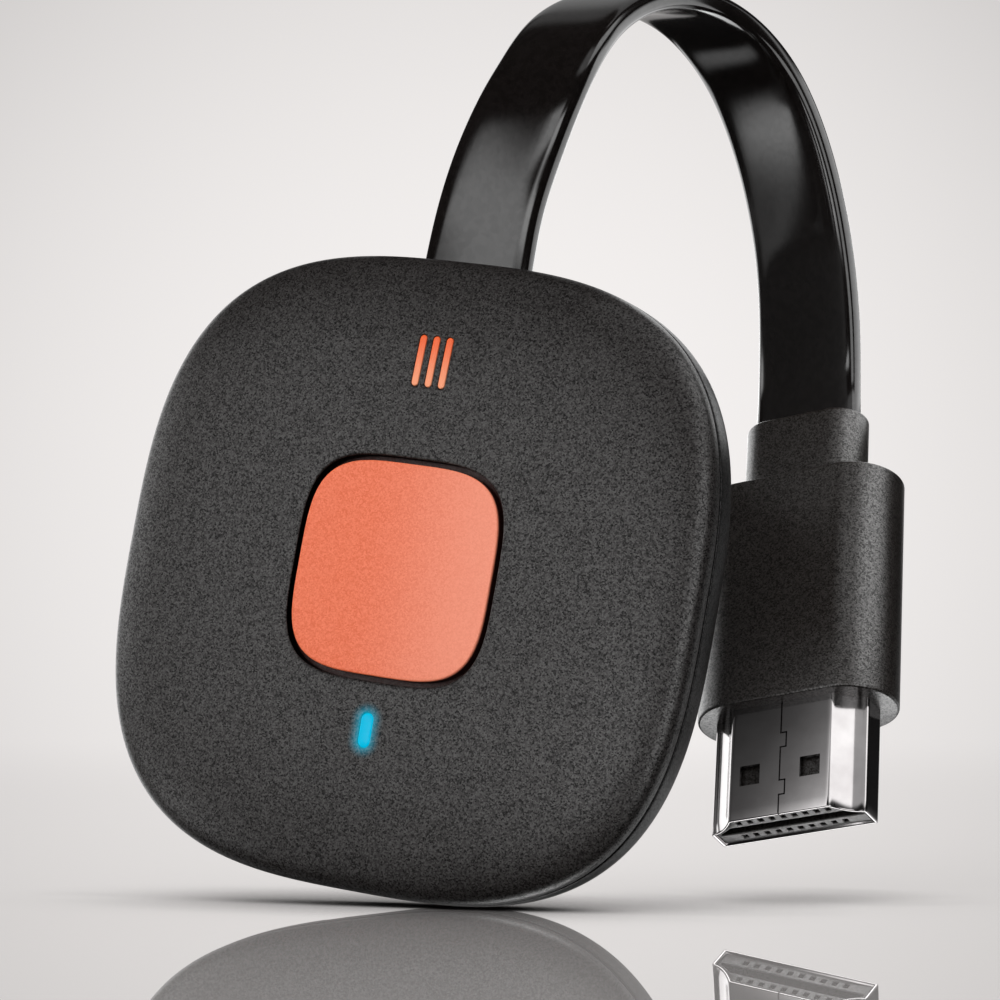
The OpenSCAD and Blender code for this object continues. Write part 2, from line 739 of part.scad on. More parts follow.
module power_inlet_contacts() {
    strip_w = 0.35;
    strip_t = 0.12;
    strip_pitch = 0.65;
    strip_count = 5;
    color([0.85, 0.68, 0.30]) at_puck() for (i = [0:strip_count - 1])
        translate([(i - (strip_count - 1) / 2) * strip_pitch - strip_w / 2, inlet_y + inlet_tongue_t / 2,
            inlet_z + inlet_sheet * 3])
            cube([strip_w, strip_t, inlet_l - inlet_base_l - inlet_sheet * 3]);
}

// Lead inside the puck

module lead_socket() {
    color([0.86, 0.84, 0.78]) at_puck()
        block(-lead_left, socket_top - socket_l / 2, socket_w, socket_l, board_back, board_back + socket_h);
}

module lead_tail() {
    color([0.05, 0.05, 0.05]) at_puck() at_exit() translate([0, 0, socket_top])
        linear_extrude(gland_z - socket_top) slot_shape(lead_w, lead_t);
}

module cable_gland() {
    full_w = gland_w + 2 * gland_shoulder;
    color([0.08, 0.08, 0.08]) at_puck() at_exit() difference() {
        union() {
            translate([0, 0, shoulder_low]) linear_extrude(gland_z - shoulder_low) slot_shape(gland_w, gland_t);
            translate([-full_w / 2, -gland_t / 2, shoulder_low])
                cube([full_w, gland_shoulder_t, gland_shoulder_h]);
        }
        translate([0, 0, shoulder_low - over]) linear_extrude(half)
            slot_shape(lead_w + fit_gap, lead_t + fit_gap);
    }
}

// Free lead

module flat_lead() {
    k = len(lead_outline);
    us = [for (j = [0:lead_rings - 1]) j / (lead_rings - 1)];
    points = [for (u = us)
        let (c = lead_at(u), w = lead_across(u), n = cross(w, lead_way(u)))
        for (p = lead_outline) c + p[0] * w + p[1] * n];
    sides = [for (j = [0:lead_rings - 2]) for (i = [0:k - 1])
        let (a = j * k + i, b = j * k + (i + 1) % k) each [[a, b, b + k], [a, b + k, a + k]]];
    first = [for (i = [k - 1:-1:0]) i];
    last = [for (i = [0:k - 1]) (lead_rings - 1) * k + i];
    color([0.05, 0.05, 0.05]) polyhedron(points, concat([first, last], sides));
}

// Plug

// Outline of the shell, drawn in by an inset: wide face at the back, narrow face in front
function ease(a, b, c, u) = pow(1 - u, 2) * a + 2 * u * (1 - u) * b + pow(u, 2) * c;
shell_inset_share = 0.43;
shell_corner = 0.3;
shell_flank = 1.3;
flank_steps = 6;
function shell_half_outline(inset) =
    let (w = shell_w / 2 - inset,
        front = -shell_t / 2 + inset,
        back = shell_t / 2 - inset,
        low = shell_t / 2 - shell_side + inset,
        n = shell_narrow / 2 - inset * shell_inset_share,
        c = max(shell_corner - inset, shell_corner / 3))
    concat(
        [for (i = [0:flank_steps])
            ease([n, front], [n + shell_flank, low], [w - c, low], i / flank_steps)],
        [[w, low + c], [w, back - c], [w - c, back]]);
function shell_outline(inset) =
    let (r = shell_half_outline(inset), m = len(r))
    concat(r, [for (i = [m - 1:-1:0]) [-r[i][0], r[i][1]]]);

module strain_relief() {
    color([0.10, 0.09, 0.09]) at_plug() translate([0, body_back, body_top]) linear_extrude(neck_l) difference() {
        slot_shape(neck_w, neck_t);
        slot_shape(lead_w + fit_gap, lead_t + fit_gap);
    }
}

module plug_body() {
    color([0.11, 0.10, 0.10]) at_plug() difference() {
        translate([0, body_back, body_low]) linear_extrude(body_l) slot_shape(body_w, body_t);
        translate([-shroud_w / 2 - fit_gap, body_back - shroud_t / 2 - fit_gap, cavity_low])
            cube([shroud_w + 2 * fit_gap, shroud_t + 2 * fit_gap, cavity_high - cavity_low]);
        translate([0, 0, body_low - over]) linear_extrude(body_floor + 2 * over)
            polygon(shell_outline(-fit_gap));
        translate([0, body_back, cavity_high - over]) linear_extrude(body_floor + 2 * over)
            slot_shape(lead_w + fit_gap, lead_t + fit_gap);
    }
}

module lead_plug_end() {
    color([0.05, 0.05, 0.05]) at_plug() translate([0, body_back, cavity_high]) linear_extrude(neck_top - cavity_high)
        slot_shape(lead_w, lead_t);
}

module inner_mould() {
    mould_w = shroud_w - 2 * shroud_sheet - 2 * fit_gap;
    mould_t = shroud_t - 2 * shroud_sheet - 2 * fit_gap;
    color([0.85, 0.84, 0.80]) at_plug() translate([-mould_w / 2, body_back - mould_t / 2, mould_low])
        cube([mould_w, mould_t, mould_l]);
}

module plug_conductors() {
    wire_d = cavity_w * 0.9;
    color([0.80, 0.45, 0.25]) at_plug() translate([0, 0, contact_end]) at_contacts()
        cylinder(d = wire_d, h = mould_low - contact_end, $fn = 16);
}

// Each contact's place, in both rows
module at_contacts() {
    at_narrow_contacts() children();
    at_wide_contacts() children();
}

module at_narrow_contacts() {
    for (i = [0:contacts_narrow_count - 1])
        translate([(i - (contacts_narrow_count - 1) / 2) * contact_pitch, -row_off, 0]) children();
}

module at_wide_contacts() {
    for (i = [0:contacts_wide_count - 1])
        translate([(i - (contacts_wide_count - 1) / 2) * contact_pitch, row_off, 0]) children();
}

module metal_shroud() {
    in_w = shroud_w - 2 * shroud_sheet;
    in_t = shroud_t - 2 * shroud_sheet;
    color([0.70, 0.71, 0.72]) at_plug() difference() {
        translate([-shroud_w / 2, body_back - shroud_t / 2, shell_top])
            cube([shroud_w, shroud_t, cavity_high - shell_top]);
        translate([-in_w / 2, body_back - in_t / 2, shell_top - over])
            cube([in_w, in_t, cavity_high - shell_top + 2 * over]);
    }
}

module seam_cut(x, z0, z1) {
    translate([x - seam_w / 2, -shell_t / 2 - over, z0]) cube([seam_w, over + shell_sheet * 1.5, z1 - z0]);
}

module seam_step(z) {
    translate([-seam_w / 2, -shell_t / 2 - over, z - seam_w / 2])
        cube([tab_d + seam_w, over + shell_sheet * 1.5, seam_w]);
}

module plug_shell() {
    color([0.62, 0.62, 0.64]) at_plug() difference() {
        linear_extrude(shell_top) polygon(shell_outline(0));
        translate([0, 0, -over]) linear_extrude(shell_top + 2 * over) polygon(shell_outline(shell_sheet));
        for (x = [-1, 1])
            translate([x * window_apart / 2 - window_w / 2, -shell_t / 2 - over, window_up - window_w / 2])
                cube([window_w, over + shell_sheet * 1.5, window_w]);
        seam_cut(0, -over, tab_low);
        seam_cut(tab_d, tab_low, tab_low + tab_l);
        seam_cut(0, tab_low + tab_l, tab_high);
        seam_cut(tab_d, tab_high, tab_high + tab_l);
        seam_cut(0, tab_high + tab_l, shell_top + over);
        for (z = [tab_low, tab_low + tab_l, tab_high, tab_high + tab_l]) seam_step(z);
    }
}

module plug_insulator() {
    front_w = mouth_w - 2 * shell_flank;
    color([0.16, 0.16, 0.17]) at_plug() difference() {
        translate([0, 0, face_recess]) linear_extrude(shell_top - face_recess)
            polygon(shell_outline(shell_sheet + fit_gap));
        translate([0, 0, face_recess - over]) linear_extrude(mouth_l + over)
            polygon([[-mouth_w / 2, mouth_t / 2], [mouth_w / 2, mouth_t / 2], [mouth_w / 2, mouth_t / 4],
                [front_w / 2, -mouth_t / 2], [-front_w / 2, -mouth_t / 2], [-mouth_w / 2, mouth_t / 4]]);
        at_contacts() translate([-cavity_w / 2, -cavity_t / 2, face_recess - over])
            cube([cavity_w, cavity_t, shell_top + 2 * over]);
    }
}

// One contact strip, lying against its cavity's outer wall
module contact_strip(side) {
    strip_w = cavity_w - 2 * fit_gap;
    strip_t = cavity_t / 2;
    strip_low = face_recess * 4;
    translate([-strip_w / 2, side > 0 ? cavity_t / 2 - strip_t : -cavity_t / 2, strip_low])
        cube([strip_w, strip_t, contact_end - strip_low]);
}

module contacts_narrow() {
    color([0.86, 0.70, 0.34]) at_plug() at_narrow_contacts() contact_strip(-1);
}

module contacts_wide() {
    color([0.86, 0.70, 0.34]) at_plug() at_wide_contacts() contact_strip(1);
}

front_cover();
back_cover();
mode_button();
slot_light_guide();
status_light_pipe();
main_board();
tact_switch();
switch_plunger();
status_led();
slot_leds();
processor_chip();
memory_chip();
radio_chip();
radio_shield();
clock_crystal();
power_coils();
capacitors();
heat_spreader();
thermal_pad();
antenna();
board_screws();
power_inlet_shell();
power_inlet_tongue();
power_inlet_contacts();
lead_socket();
lead_tail();
cable_gland();
flat_lead();
strain_relief();
plug_body();
lead_plug_end();
inner_mould();
plug_conductors();
metal_shroud();
plug_shell();
plug_insulator();
contacts_narrow();
contacts_wide();
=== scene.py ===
"""Looks of the wireless display dongle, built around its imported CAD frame.

Lengths in this file are millimetres in the puck's or the plug's own frame, as in the CAD source.
at_puck() and at_plug() turn them into metres in the row frame.
"""

import json
import math

import bmesh
import bpy
import numpy as np
from mathutils import Matrix, Vector
from mathutils.geometry import delaunay_2d_cdt


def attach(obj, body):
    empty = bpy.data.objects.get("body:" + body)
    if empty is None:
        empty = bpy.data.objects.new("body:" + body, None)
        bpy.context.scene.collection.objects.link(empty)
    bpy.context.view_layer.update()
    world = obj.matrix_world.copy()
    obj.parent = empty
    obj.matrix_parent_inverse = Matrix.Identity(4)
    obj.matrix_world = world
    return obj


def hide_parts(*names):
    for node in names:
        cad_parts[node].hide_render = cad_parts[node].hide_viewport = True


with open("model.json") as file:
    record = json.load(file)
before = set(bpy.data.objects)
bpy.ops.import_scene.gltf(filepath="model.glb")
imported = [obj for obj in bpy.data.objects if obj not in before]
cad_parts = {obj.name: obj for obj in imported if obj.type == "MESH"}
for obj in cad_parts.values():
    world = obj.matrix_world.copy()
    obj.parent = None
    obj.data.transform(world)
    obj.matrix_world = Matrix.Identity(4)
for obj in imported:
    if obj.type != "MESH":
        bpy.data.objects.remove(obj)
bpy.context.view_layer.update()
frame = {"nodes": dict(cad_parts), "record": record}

MM = 0.001

# ---------------------------------------------------------------- frames

# The puck's middle, and the plug's turns about its mouth, as in the CAD source
PUCK = np.array([-29.5, -17.0, 14.5])


def axis_turn(axis, degrees):
    return np.array(Matrix.Rotation(math.radians(degrees), 3, axis))


PLUG = axis_turn("Z", -4) @ axis_turn("Y", -17) @ axis_turn("X", -18.5)


def at_puck(p):
    """Row frame places, in metres, of places in the puck's frame: x to its right, y to its back, z up."""
    return (np.asarray(p, float) + PUCK) * MM


def plug_mm(p):
    return np.asarray(p, float) @ PLUG.T


def at_plug(p):
    """Row frame places, in metres, of places in the plug's frame: z runs from its mouth to the lead."""
    return plug_mm(p) * MM


# ---------------------------------------------------------------- camera

CAMERA_PLACE = np.array([115.89, -307.55, -6.49])
CAMERA_UP = Vector((-0.12128, -0.15269, 0.98081))
CAMERA_BACK = Vector((0.42922, -0.89901, -0.08688)).normalized()
SENSOR_WIDTH, FOCAL_LENGTH = 36, 144


def look(place, back, up):
    """Matrix of a camera or lamp at a place in metres, looking away from back."""
    right = up.cross(back).normalized()
    turned = Matrix((right, back.cross(right), back)).transposed().to_4x4()
    return Matrix.Translation(place) @ turned


camera_data = bpy.data.cameras.new("camera")
camera_data.sensor_width = SENSOR_WIDTH
camera_data.lens = FOCAL_LENGTH
camera_data.clip_start = 0.01
camera_data.clip_end = 20
camera = bpy.data.objects.new("camera", camera_data)
bpy.context.scene.collection.objects.link(camera)
camera.matrix_world = look(Vector(CAMERA_PLACE * MM), CAMERA_BACK, CAMERA_UP)
bpy.context.scene.camera = camera

# ---------------------------------------------------------------- materials


class Paint:
    """Nodes of one material, on object coordinates, which are the row frame in metres."""

    def __init__(self, name, roughness=0.5, metallic=0.0, **sockets):
        self.material = bpy.data.materials.new(name)
        self.material.use_nodes = True
        self.tree = self.material.node_tree
        self.shader = self.tree.nodes["Principled BSDF"]
        self.set(self.shader, Roughness=roughness, Metallic=metallic)
        for socket, value in sockets.items():
            self.set(self.shader, **{socket.replace("_", " "): value})
        self.place = self.add("ShaderNodeTexCoord").outputs["Object"]

    def add(self, kind, **inputs):
        node = self.tree.nodes.new(kind)
        self.set(node, **inputs)
        return node

    def set(self, node, **inputs):
        for name, value in inputs.items():
            socket = node.inputs[name.replace("_", " ")]
            if isinstance(value, bpy.types.NodeSocket):
                self.tree.links.new(value, socket)
            elif socket.type == "RGBA" and len(value) == 3:
                socket.default_value = (*value, 1)
            else:
                socket.default_value = value

    def noise(self, size_mm, detail=2.0, stretch=None):
        """Noise from 0 to 1 with features of about that size."""
        place = self.place
        if stretch:
            place = self.add("ShaderNodeVectorMath")
            place.operation = "MULTIPLY"
            self.tree.links.new(self.place, place.inputs[0])
            place.inputs[1].default_value = stretch
            place = place.outputs[0]
        return self.add("ShaderNodeTexNoise", Vector=place, Scale=1 / (size_mm * MM),
                        Detail=detail).outputs[0]

    def cells(self, size_mm):
        """A random level from 0 to 1 for each small cell of about that size."""
        node = self.add("ShaderNodeTexVoronoi", Vector=self.place, Scale=1 / (size_mm * MM))
        return self.add("ShaderNodeSeparateColor", Color=node.outputs["Color"]).outputs[0]

    def math(self, operation, a, b=0.0, clamp=False):
        node = self.add("ShaderNodeMath")
        node.operation = operation
        node.use_clamp = clamp
        for i, value in enumerate((a, b)):
            if isinstance(value, bpy.types.NodeSocket):
                self.tree.links.new(value, node.inputs[i])
            else:
                node.inputs[i].default_value = value
        return node.outputs[0]

    def span(self, value, low, high, a=0.0, b=1.0, smooth=False):
        """value mapped from low..high to a..b, held at both ends."""
        node = self.add("ShaderNodeMapRange")
        if smooth:
            node.interpolation_type = "SMOOTHSTEP"
        self.tree.links.new(value, node.inputs["Value"])
        for name, number in (("From Min", low), ("From Max", high), ("To Min", a), ("To Max", b)):
            node.inputs[name].default_value = number
        return node.outputs[0]

    def blend(self, share, a, b):
        node = self.add("ShaderNodeMix")
        node.data_type = "RGBA"
        self.tree.links.new(share, node.inputs[0])
        for i, value in ((6, a), (7, b)):
            if isinstance(value, bpy.types.NodeSocket):
                self.tree.links.new(value, node.inputs[i])
            else:
                node.inputs[i].default_value = (*value, 1)
        return node.outputs[2]

    def bump(self, height, depth_mm, strength=1.0, below=None):
        node = self.add("ShaderNodeBump", Height=height, Distance=depth_mm * MM, Strength=strength)
        if below is not None:
            self.tree.links.new(below, node.inputs["Normal"])
        return node.outputs[0]

    def xyz(self):
        return self.add("ShaderNodeSeparateXYZ", Vector=self.place).outputs


def moulded(name, dark, light, rough, grain_mm=0.12, grain_depth=0.008, mottle_mm=6.0,
            gloss=(0.15, 0.95), **sockets):
    """Moulded plastic with a fine eroded grain, a faint mottle and uneven gloss."""
    p = Paint(name, **sockets)
    grain = p.cells(grain_mm)
    mottle = p.noise(mottle_mm, 2.0)
    share = p.math("ADD", p.math("MULTIPLY", grain, 0.95), p.span(mottle, 0.3, 0.7, 0, 0.05))
    p.set(p.shader, Base_Color=p.blend(share, dark, light), Roughness=p.span(mottle, 0.3, 0.7, *rough),
          Specular_IOR_Level=p.span(grain, 0, 1, *gloss), Normal=p.bump(p.noise(grain_mm), grain_depth))
    return p


def metal(name, dark, light, rough, brush=(1, 1, 0.08), scratch_mm=0.08, depth=0.0006, **sockets):
    """Rolled sheet metal with fine lines along one direction and a soft stain."""
    p = Paint(name, metallic=1.0, **sockets)
    lines = p.noise(scratch_mm, 2.0, brush)
    stain = p.noise(3.0, 3.0)
    p.set(p.shader, Base_Color=p.blend(p.span(stain, 0.3, 0.7), dark, light),
          Roughness=p.span(lines, 0.3, 0.7, *rough), Normal=p.bump(lines, depth))
    return p


# Places on the puck's front that the materials share with the shapes further down
BUTTON_TOP = -3.415
SLOT_XS = (-1.2, 0.0, 1.2)
SLOT_UP, SLOT_L, SLOT_W = 17.2, 4.3, 0.65
LAMP_DOWN, LAMP_L, LAMP_W = 13.1, 2.8, 1.1


def painted_gap_shade(p, reach, top, deep):
    """Painted shade: turns the cover's plastic dark and less glossy down the wall of the button's opening,
    within reach of the middle.
    """
    x, y, z = p.xyz()
    beside = [p.math("ABSOLUTE", p.math("SUBTRACT", value, PUCK[k] * MM)) for value, k in ((x, 0), (z, 2))]
    inside = p.math("LESS_THAN", p.math("MAXIMUM", *beside), reach * MM)
    down = p.math("MULTIPLY", inside, p.span(y, (PUCK[1] + top) * MM, (PUCK[1] + deep) * MM))
    colour, gloss = (p.shader.inputs[name].links[0].from_socket
                     for name in ("Base Color", "Specular IOR Level"))
    p.set(p.shader, Base_Color=p.blend(down, colour, (0.001, 0.0008, 0.0008)),
          Specular_IOR_Level=p.math("MULTIPLY", gloss, p.span(down, 0, 1, 1, 0.1)))


puck_paint = moulded("puck_front", (0.004, 0.0034, 0.0032), (0.0245, 0.0212, 0.0203), (0.39, 0.42))
# Painted shade down the wall of the button's opening in the front cover
painted_gap_shade(puck_paint, reach=9.45, top=-3.3, deep=-3.15)
back_paint = moulded("puck_back", (0.002, 0.0018, 0.0018), (0.010, 0.009, 0.009), (0.36, 0.4),
                     gloss=(0.1, 0.5))
body_paint = moulded("plug_black", (0.0035, 0.0022, 0.0016), (0.021, 0.0155, 0.0125), (0.33, 0.38),
                     mottle_mm=9, gloss=(0.4, 1.7), grain_depth=0.01)
gland_paint = moulded("gland_rubber", (0.008, 0.008, 0.008), (0.02, 0.02, 0.02), (0.5, 0.6), grain_mm=0.25)
lead_paint = moulded("lead_black", (0.004, 0.003, 0.0027), (0.0065, 0.005, 0.0047), (0.12, 0.14),
                     grain_mm=0.4, grain_depth=0.0006, mottle_mm=12.0, gloss=(0.66, 0.74))
shell_paint = metal("shell_metal", (0.34, 0.325, 0.325), (0.42, 0.405, 0.405), (0.10, 0.14), depth=0.0003)


def button_colours(shade_y):
    """Satin orange with a painted sheen that makes it a little paler to the right, and painted shade that
    turns it dark down the flank in the button's gap.
    """
    # The first colour is the button's own orange; the second is a painted sheen and the third a painted shade
    orange, sheen_orange, dark = (0.88, 0.185, 0.072), (0.94, 0.35, 0.23), (0.03, 0.004, 0.002)
    p = moulded("button_orange", (0.75, 0.125, 0.042), orange, (0.42, 0.48), grain_depth=0.006,
                mottle_mm=8.0, gloss=(0.3, 0.6))
    # Painted shade: dark down the flank in the gap
    depth = p.span(p.xyz()[1], (shade_y - 0.1) * MM, (shade_y + 0.1) * MM)
    grained = p.shader.inputs["Base Color"].links[0].from_socket
    # Painted sheen: paler towards the right
    pale = p.span(p.xyz()[0], (PUCK[0] - 4) * MM, (PUCK[0] + 9) * MM, 0, 0.6, smooth=True)
    p.set(p.shader, Base_Color=p.blend(depth, p.blend(pale, grained, sheen_orange), dark))
    return p


# Depth below the button's top at which the painted shade in the gap begins
SHADE_BELOW_TOP = 0.28
button_paint = button_colours(PUCK[1] + BUTTON_TOP + SHADE_BELOW_TOP)


def painted_glow_round(p, centre, half_length, near, far, colour, strength):
    """Painted glow of the status lamp: emission in the cover's plastic round it, by distance from the lamp's
    middle line.
    """
    away = p.add("ShaderNodeVectorMath")
    away.operation = "SUBTRACT"
    p.tree.links.new(p.place, away.inputs[0])
    away.inputs[1].default_value = centre
    x, _, z = p.add("ShaderNodeSeparateXYZ", Vector=away.outputs[0]).outputs
    past = p.math("MAXIMUM", p.math("SUBTRACT", p.math("ABSOLUTE", z), half_length * MM), 0.0)
    distance = p.math("SQRT", p.math("ADD", p.math("MULTIPLY", x, x), p.math("MULTIPLY", past, past)))
    fall = p.span(distance, near * MM, far * MM, 1, 0)
    p.set(p.shader, Emission_Color=colour,
          Emission_Strength=p.math("MULTIPLY", p.math("POWER", fall, 2.2), strength))


# Painted glow round the status lamp in the front cover
painted_glow_round(puck_paint, at_puck((0, 0, -LAMP_DOWN)), half_length=0.85, near=0.5, far=1.6,
           colour=(0.001, 0.28, 0.40), strength=1.0)


def slot_colours():
    """Tinted light guide, paler at the slots' lower ends."""
    p = Paint("light_orange", roughness=0.35)
    _, _, up = p.xyz()
    low_end, high_end = (at_puck((0, 0, z))[2] for z in (15.0, 19.4))
    fade = p.span(up, low_end, high_end, smooth=True)
    grain = p.noise(0.3)
    p.set(p.shader, Base_Color=p.blend(fade, (0.94, 0.33, 0.16), (0.88, 0.115, 0.014)),
          Normal=p.bump(grain, 0.004), Roughness=p.span(grain, 0.3, 0.7, 0.3, 0.42))
    return p


def lamp_colours():
    """Lit cyan plastic."""
    p = Paint("light_cyan", roughness=0.25)
    grain = p.noise(0.5)
    p.set(p.shader, Base_Color=p.blend(grain, (0.0, 0.08, 0.12), (0.0, 0.1, 0.15)),
          Emission_Color=p.blend(grain, (0.0, 0.52, 0.8), (0.001, 0.58, 0.88)),
          Emission_Strength=0.75, Specular_IOR_Level=0.15, Normal=p.bump(grain, 0.003))
    return p


slot_paint = slot_colours()
lamp_paint = lamp_colours()

# ---------------------------------------------------------------- meshes


def joined(parts):
    points, faces = [], []
    for part_points, part_faces in parts:
        base = len(points)
        points.extend(tuple(map(float, p)) for p in part_points)
        faces.extend(tuple(base + i for i in f) for f in part_faces)
    return points, faces


def piece(name, parts, paint, replaces=(), body="root", sharp=35):
    """One Blender piece from parts, each (points in metres, faces), riding on a body."""
    points, faces = joined(parts)
    mesh = bpy.data.meshes.new(name)
    mesh.from_pydata(points, [], faces)
    mesh.materials.append(paint.material)
    obj = bpy.data.objects.new(name, mesh)
    bpy.context.scene.collection.objects.link(obj)
    tidy(obj, sharp)
    return carried(obj, replaces, body)


def tidy(obj, sharp=35):
    """Outward normals, smooth faces and sharp edges above an angle."""
    bm = bmesh.new()
    bm.from_mesh(obj.data)
    bmesh.ops.recalc_face_normals(bm, faces=bm.faces)
    for f in bm.faces:
        f.smooth = True
    for e in bm.edges:
        e.smooth = not (e.is_manifold and e.calc_face_angle(0) > math.radians(sharp))
    bm.to_mesh(obj.data)
    bm.free()


def carried(obj, replaces=(), body="root"):
    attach(obj, body)
    if replaces:
        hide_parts(*replaces)
    return obj


def cut(obj, cutters, sharp=35):
    """Takes cutters, (points, faces) in metres, out of a piece."""
    mesh = bpy.data.meshes.new("cutter")
    points, faces = joined(cutters)
    mesh.from_pydata(points, [], faces)
    tool = bpy.data.objects.new("cutter", mesh)
    bpy.context.scene.collection.objects.link(tool)
    tidy(tool)
    modifier = obj.modifiers.new("cut", "BOOLEAN")
    modifier.operation = "DIFFERENCE"
    modifier.solver = "EXACT"
    modifier.object = tool
    bpy.context.view_layer.update()
    made = bpy.data.meshes.new_from_object(obj.evaluated_get(bpy.context.evaluated_depsgraph_get()))
    obj.modifiers.clear()
    old, obj.data = obj.data, made
    bpy.data.meshes.remove(old)
    bpy.data.objects.remove(tool)
    bpy.data.meshes.remove(mesh)
    tidy(obj, sharp)


def skin(rings, closed=False, caps=True):
    """Points and faces over rings of equally many points. closed joins the last ring to the first."""
    k = len(rings[0])
    points = [p for ring in rings for p in ring]
    count = len(rings)
    faces = []
    for j in range(count if closed else count - 1):
        a, b = j * k, (j + 1) % count * k
        faces += [(a + i, a + (i + 1) % k, b + (i + 1) % k, b + i) for i in range(k)]
    if caps and not closed:
        faces.append(tuple(range(k - 1, -1, -1)))
        faces.append(tuple((count - 1) * k + i for i in range(k)))
    return points, faces


def box(low, high, place):
    corners = [(x, y, z) for z in (low[2], high[2]) for x, y in
               ((low[0], low[1]), (high[0], low[1]), (high[0], high[1]), (low[0], high[1]))]
    faces = [(3, 2, 1, 0), (4, 5, 6, 7), (0, 1, 5, 4), (1, 2, 6, 5), (2, 3, 7, 6), (3, 0, 4, 7)]
    return place(corners), faces


def squircle(half, n, steps):
    a = np.arange(steps) * 2 * math.pi / steps
    c, s = np.cos(a), np.sin(a)
    r = half * (np.abs(c) ** n + np.abs(s) ** n) ** (-1 / n)
    return np.stack([r * c, r * s], 1)


def stadium(w, t, arc=16, straight=1):
    """Slot outline with round ends, long along the first axis, counterclockwise, with no point on an axis."""
    r, e = t / 2, (w - t) / 2
    a = (np.arange(arc) + 0.5) / arc * math.pi - math.pi / 2
    right = np.stack([e + r * np.cos(a), r * np.sin(a)], 1)
    if straight > 1:
        s = np.linspace(-1, 1, straight + 2)[1:-1]
        top = np.stack([-s * e, np.full(straight, r)], 1)
        return np.concatenate([right, top, -right, -top])
    return np.concatenate([right, -right])


def arc_steps(radius, steps, flip=False):
    """Insets and depths of a quarter round, from the face that it leaves to the side that it meets."""
    a = np.linspace(0, math.pi / 2, steps + 1)
    inset, depth = radius * (1 - np.sin(a)), radius * (1 - np.cos(a))
    pairs = list(zip(inset, depth))
    return pairs[::-1] if flip else pairs


def dome(s, m):
    return np.maximum(0, 1 - np.asarray(s, float) ** m) ** (1 / m)


def size_of(x, z, n):
    return (np.abs(x) ** n + np.abs(z) ** n) ** (1 / n)


# ---------------------------------------------------------------- free lead

LEAD_W, LEAD_T = 9.6, 2.1
NECK_TOP = 38.2
LEAD_LEFT, LEAD_BACK = 0.4, 3.0
lead_start = PUCK + (-LEAD_LEFT, LEAD_BACK, 26.1)
lead_end = plug_mm((0, 0.9, NECK_TOP))
LEAD_GUIDES = np.array([lead_start, lead_start + (0, 0, 7), (-26.3, -15.9, 57.4), (-26.7, -9.4, 64.6),
                        (-23.9, 2.1, 69.3), (-17.8, 10.3, 64.2), (-11.5, 11.5, 49.8),
                        lead_end + plug_mm((0, 0, 5.5)), lead_end])
LEAD_TURN = np.array([-0.43, -0.17, -0.12])


def lead_line(count):
    """Middle points, ways and width directions along the lead, as the CAD source makes them."""
    g = LEAD_GUIDES
    knots = np.concatenate([[2 * g[0] - g[1]], g, [2 * g[-1] - g[-2]]])
    cells = len(g) - 1
    middles, ways, across = [], [], []
    for u in np.linspace(0, 1, count):
        i = min(cells - 1, int(u * cells))
        v = u * cells - i
        weights = np.array([(1 - v) ** 3, 3 * v ** 3 - 6 * v ** 2 + 4, 3 * v + 3 * v ** 2 - 3 * v ** 3 + 1,
                            v ** 3]) / 6
        slopes = np.array([-(1 - v) ** 2, 3 * v ** 2 - 4 * v, 1 + 2 * v - 3 * v ** 2, v ** 2]) / 2
        way = slopes @ knots[i:i + 4]
        way /= np.linalg.norm(way)
        w = (1 - u) * np.array([1.0, 0, 0]) + u * plug_mm((1, 0, 0)) + 4 * u * (1 - u) * LEAD_TURN
        w -= (w @ way) * way
        middles.append(weights @ knots[i:i + 4])
        ways.append(way)
        across.append(w / np.linalg.norm(w))
    return np.array(middles), np.array(ways), np.array(across)


def lead_outline(flatness=8.0, roundness=3.0):
    """Section of the flat lead: almost flat across, and round towards its edges."""
    angles = np.radians(np.linspace(0, 82.5, 12))
    quarter = [(math.cos(a) ** (2 / flatness), math.sin(a) ** (2 / roundness)) for a in angles]
    quarter += [(k, (1 - k ** flatness) ** (1 / roundness)) for k in (0.45, 0.3, 0.15)]
    top = [*quarter, (0, 1), *((-x, y) for x, y in reversed(quarter))]
    return np.array([*top, *((-x, -y) for x, y in top[1:-1])]) * (LEAD_W / 2, LEAD_T / 2)


middles, ways, across = lead_line(161)
normals = np.cross(across, ways)
outline = lead_outline()
lead_rings = [(m + outline[:, :1] * w + outline[:, 1:] * n) * MM for m, w, n in zip(middles, across, normals)]
lead = piece("flat_lead_skin", [skin(lead_rings)], lead_paint, ("flat_lead",))

# ---------------------------------------------------------------- front cover

HALF, WALL = 26.0, 1.2
IN_HALF = HALF - WALL
RISE, FLAT = 3.4, 3.6
OPEN_HALF, OPEN_N = 9.15, 3.8
NET_SHARE = 0.86
AROUND = 256
FIT = 0.06


def front_y(x, z):
    return -RISE * dome(size_of(x, z, 3) / HALF, FLAT)


def front_in_y(x, z):
    return -(RISE - WALL) * dome(size_of(x, z, 3) / IN_HALF, FLAT)


class Hole:
    """Hole in the front cover: outline_at(d) lies d outside it, and distance is how far a place is from it.
    fillet rounds its edge, and calm is the width of the ring round the fillet."""

    def __init__(self, outline_at, distance, fillet, calm):
        self.outline_at, self.distance, self.fillet, self.calm = outline_at, distance, fillet, calm


def pill_hole(cx, cz, length, width, fillet, calm):
    def outline_at(d):
        p = stadium(length + 2 * d, width + 2 * d, arc=14, straight=9)
        return np.stack([-p[:, 1] + cx, p[:, 0] + cz], 1)

    def distance(x, z):
        past = np.maximum(np.abs(z - cz) - (length - width) / 2, 0)
        return np.hypot(x - cx, past) - width / 2

    return Hole(outline_at, distance, fillet, calm)


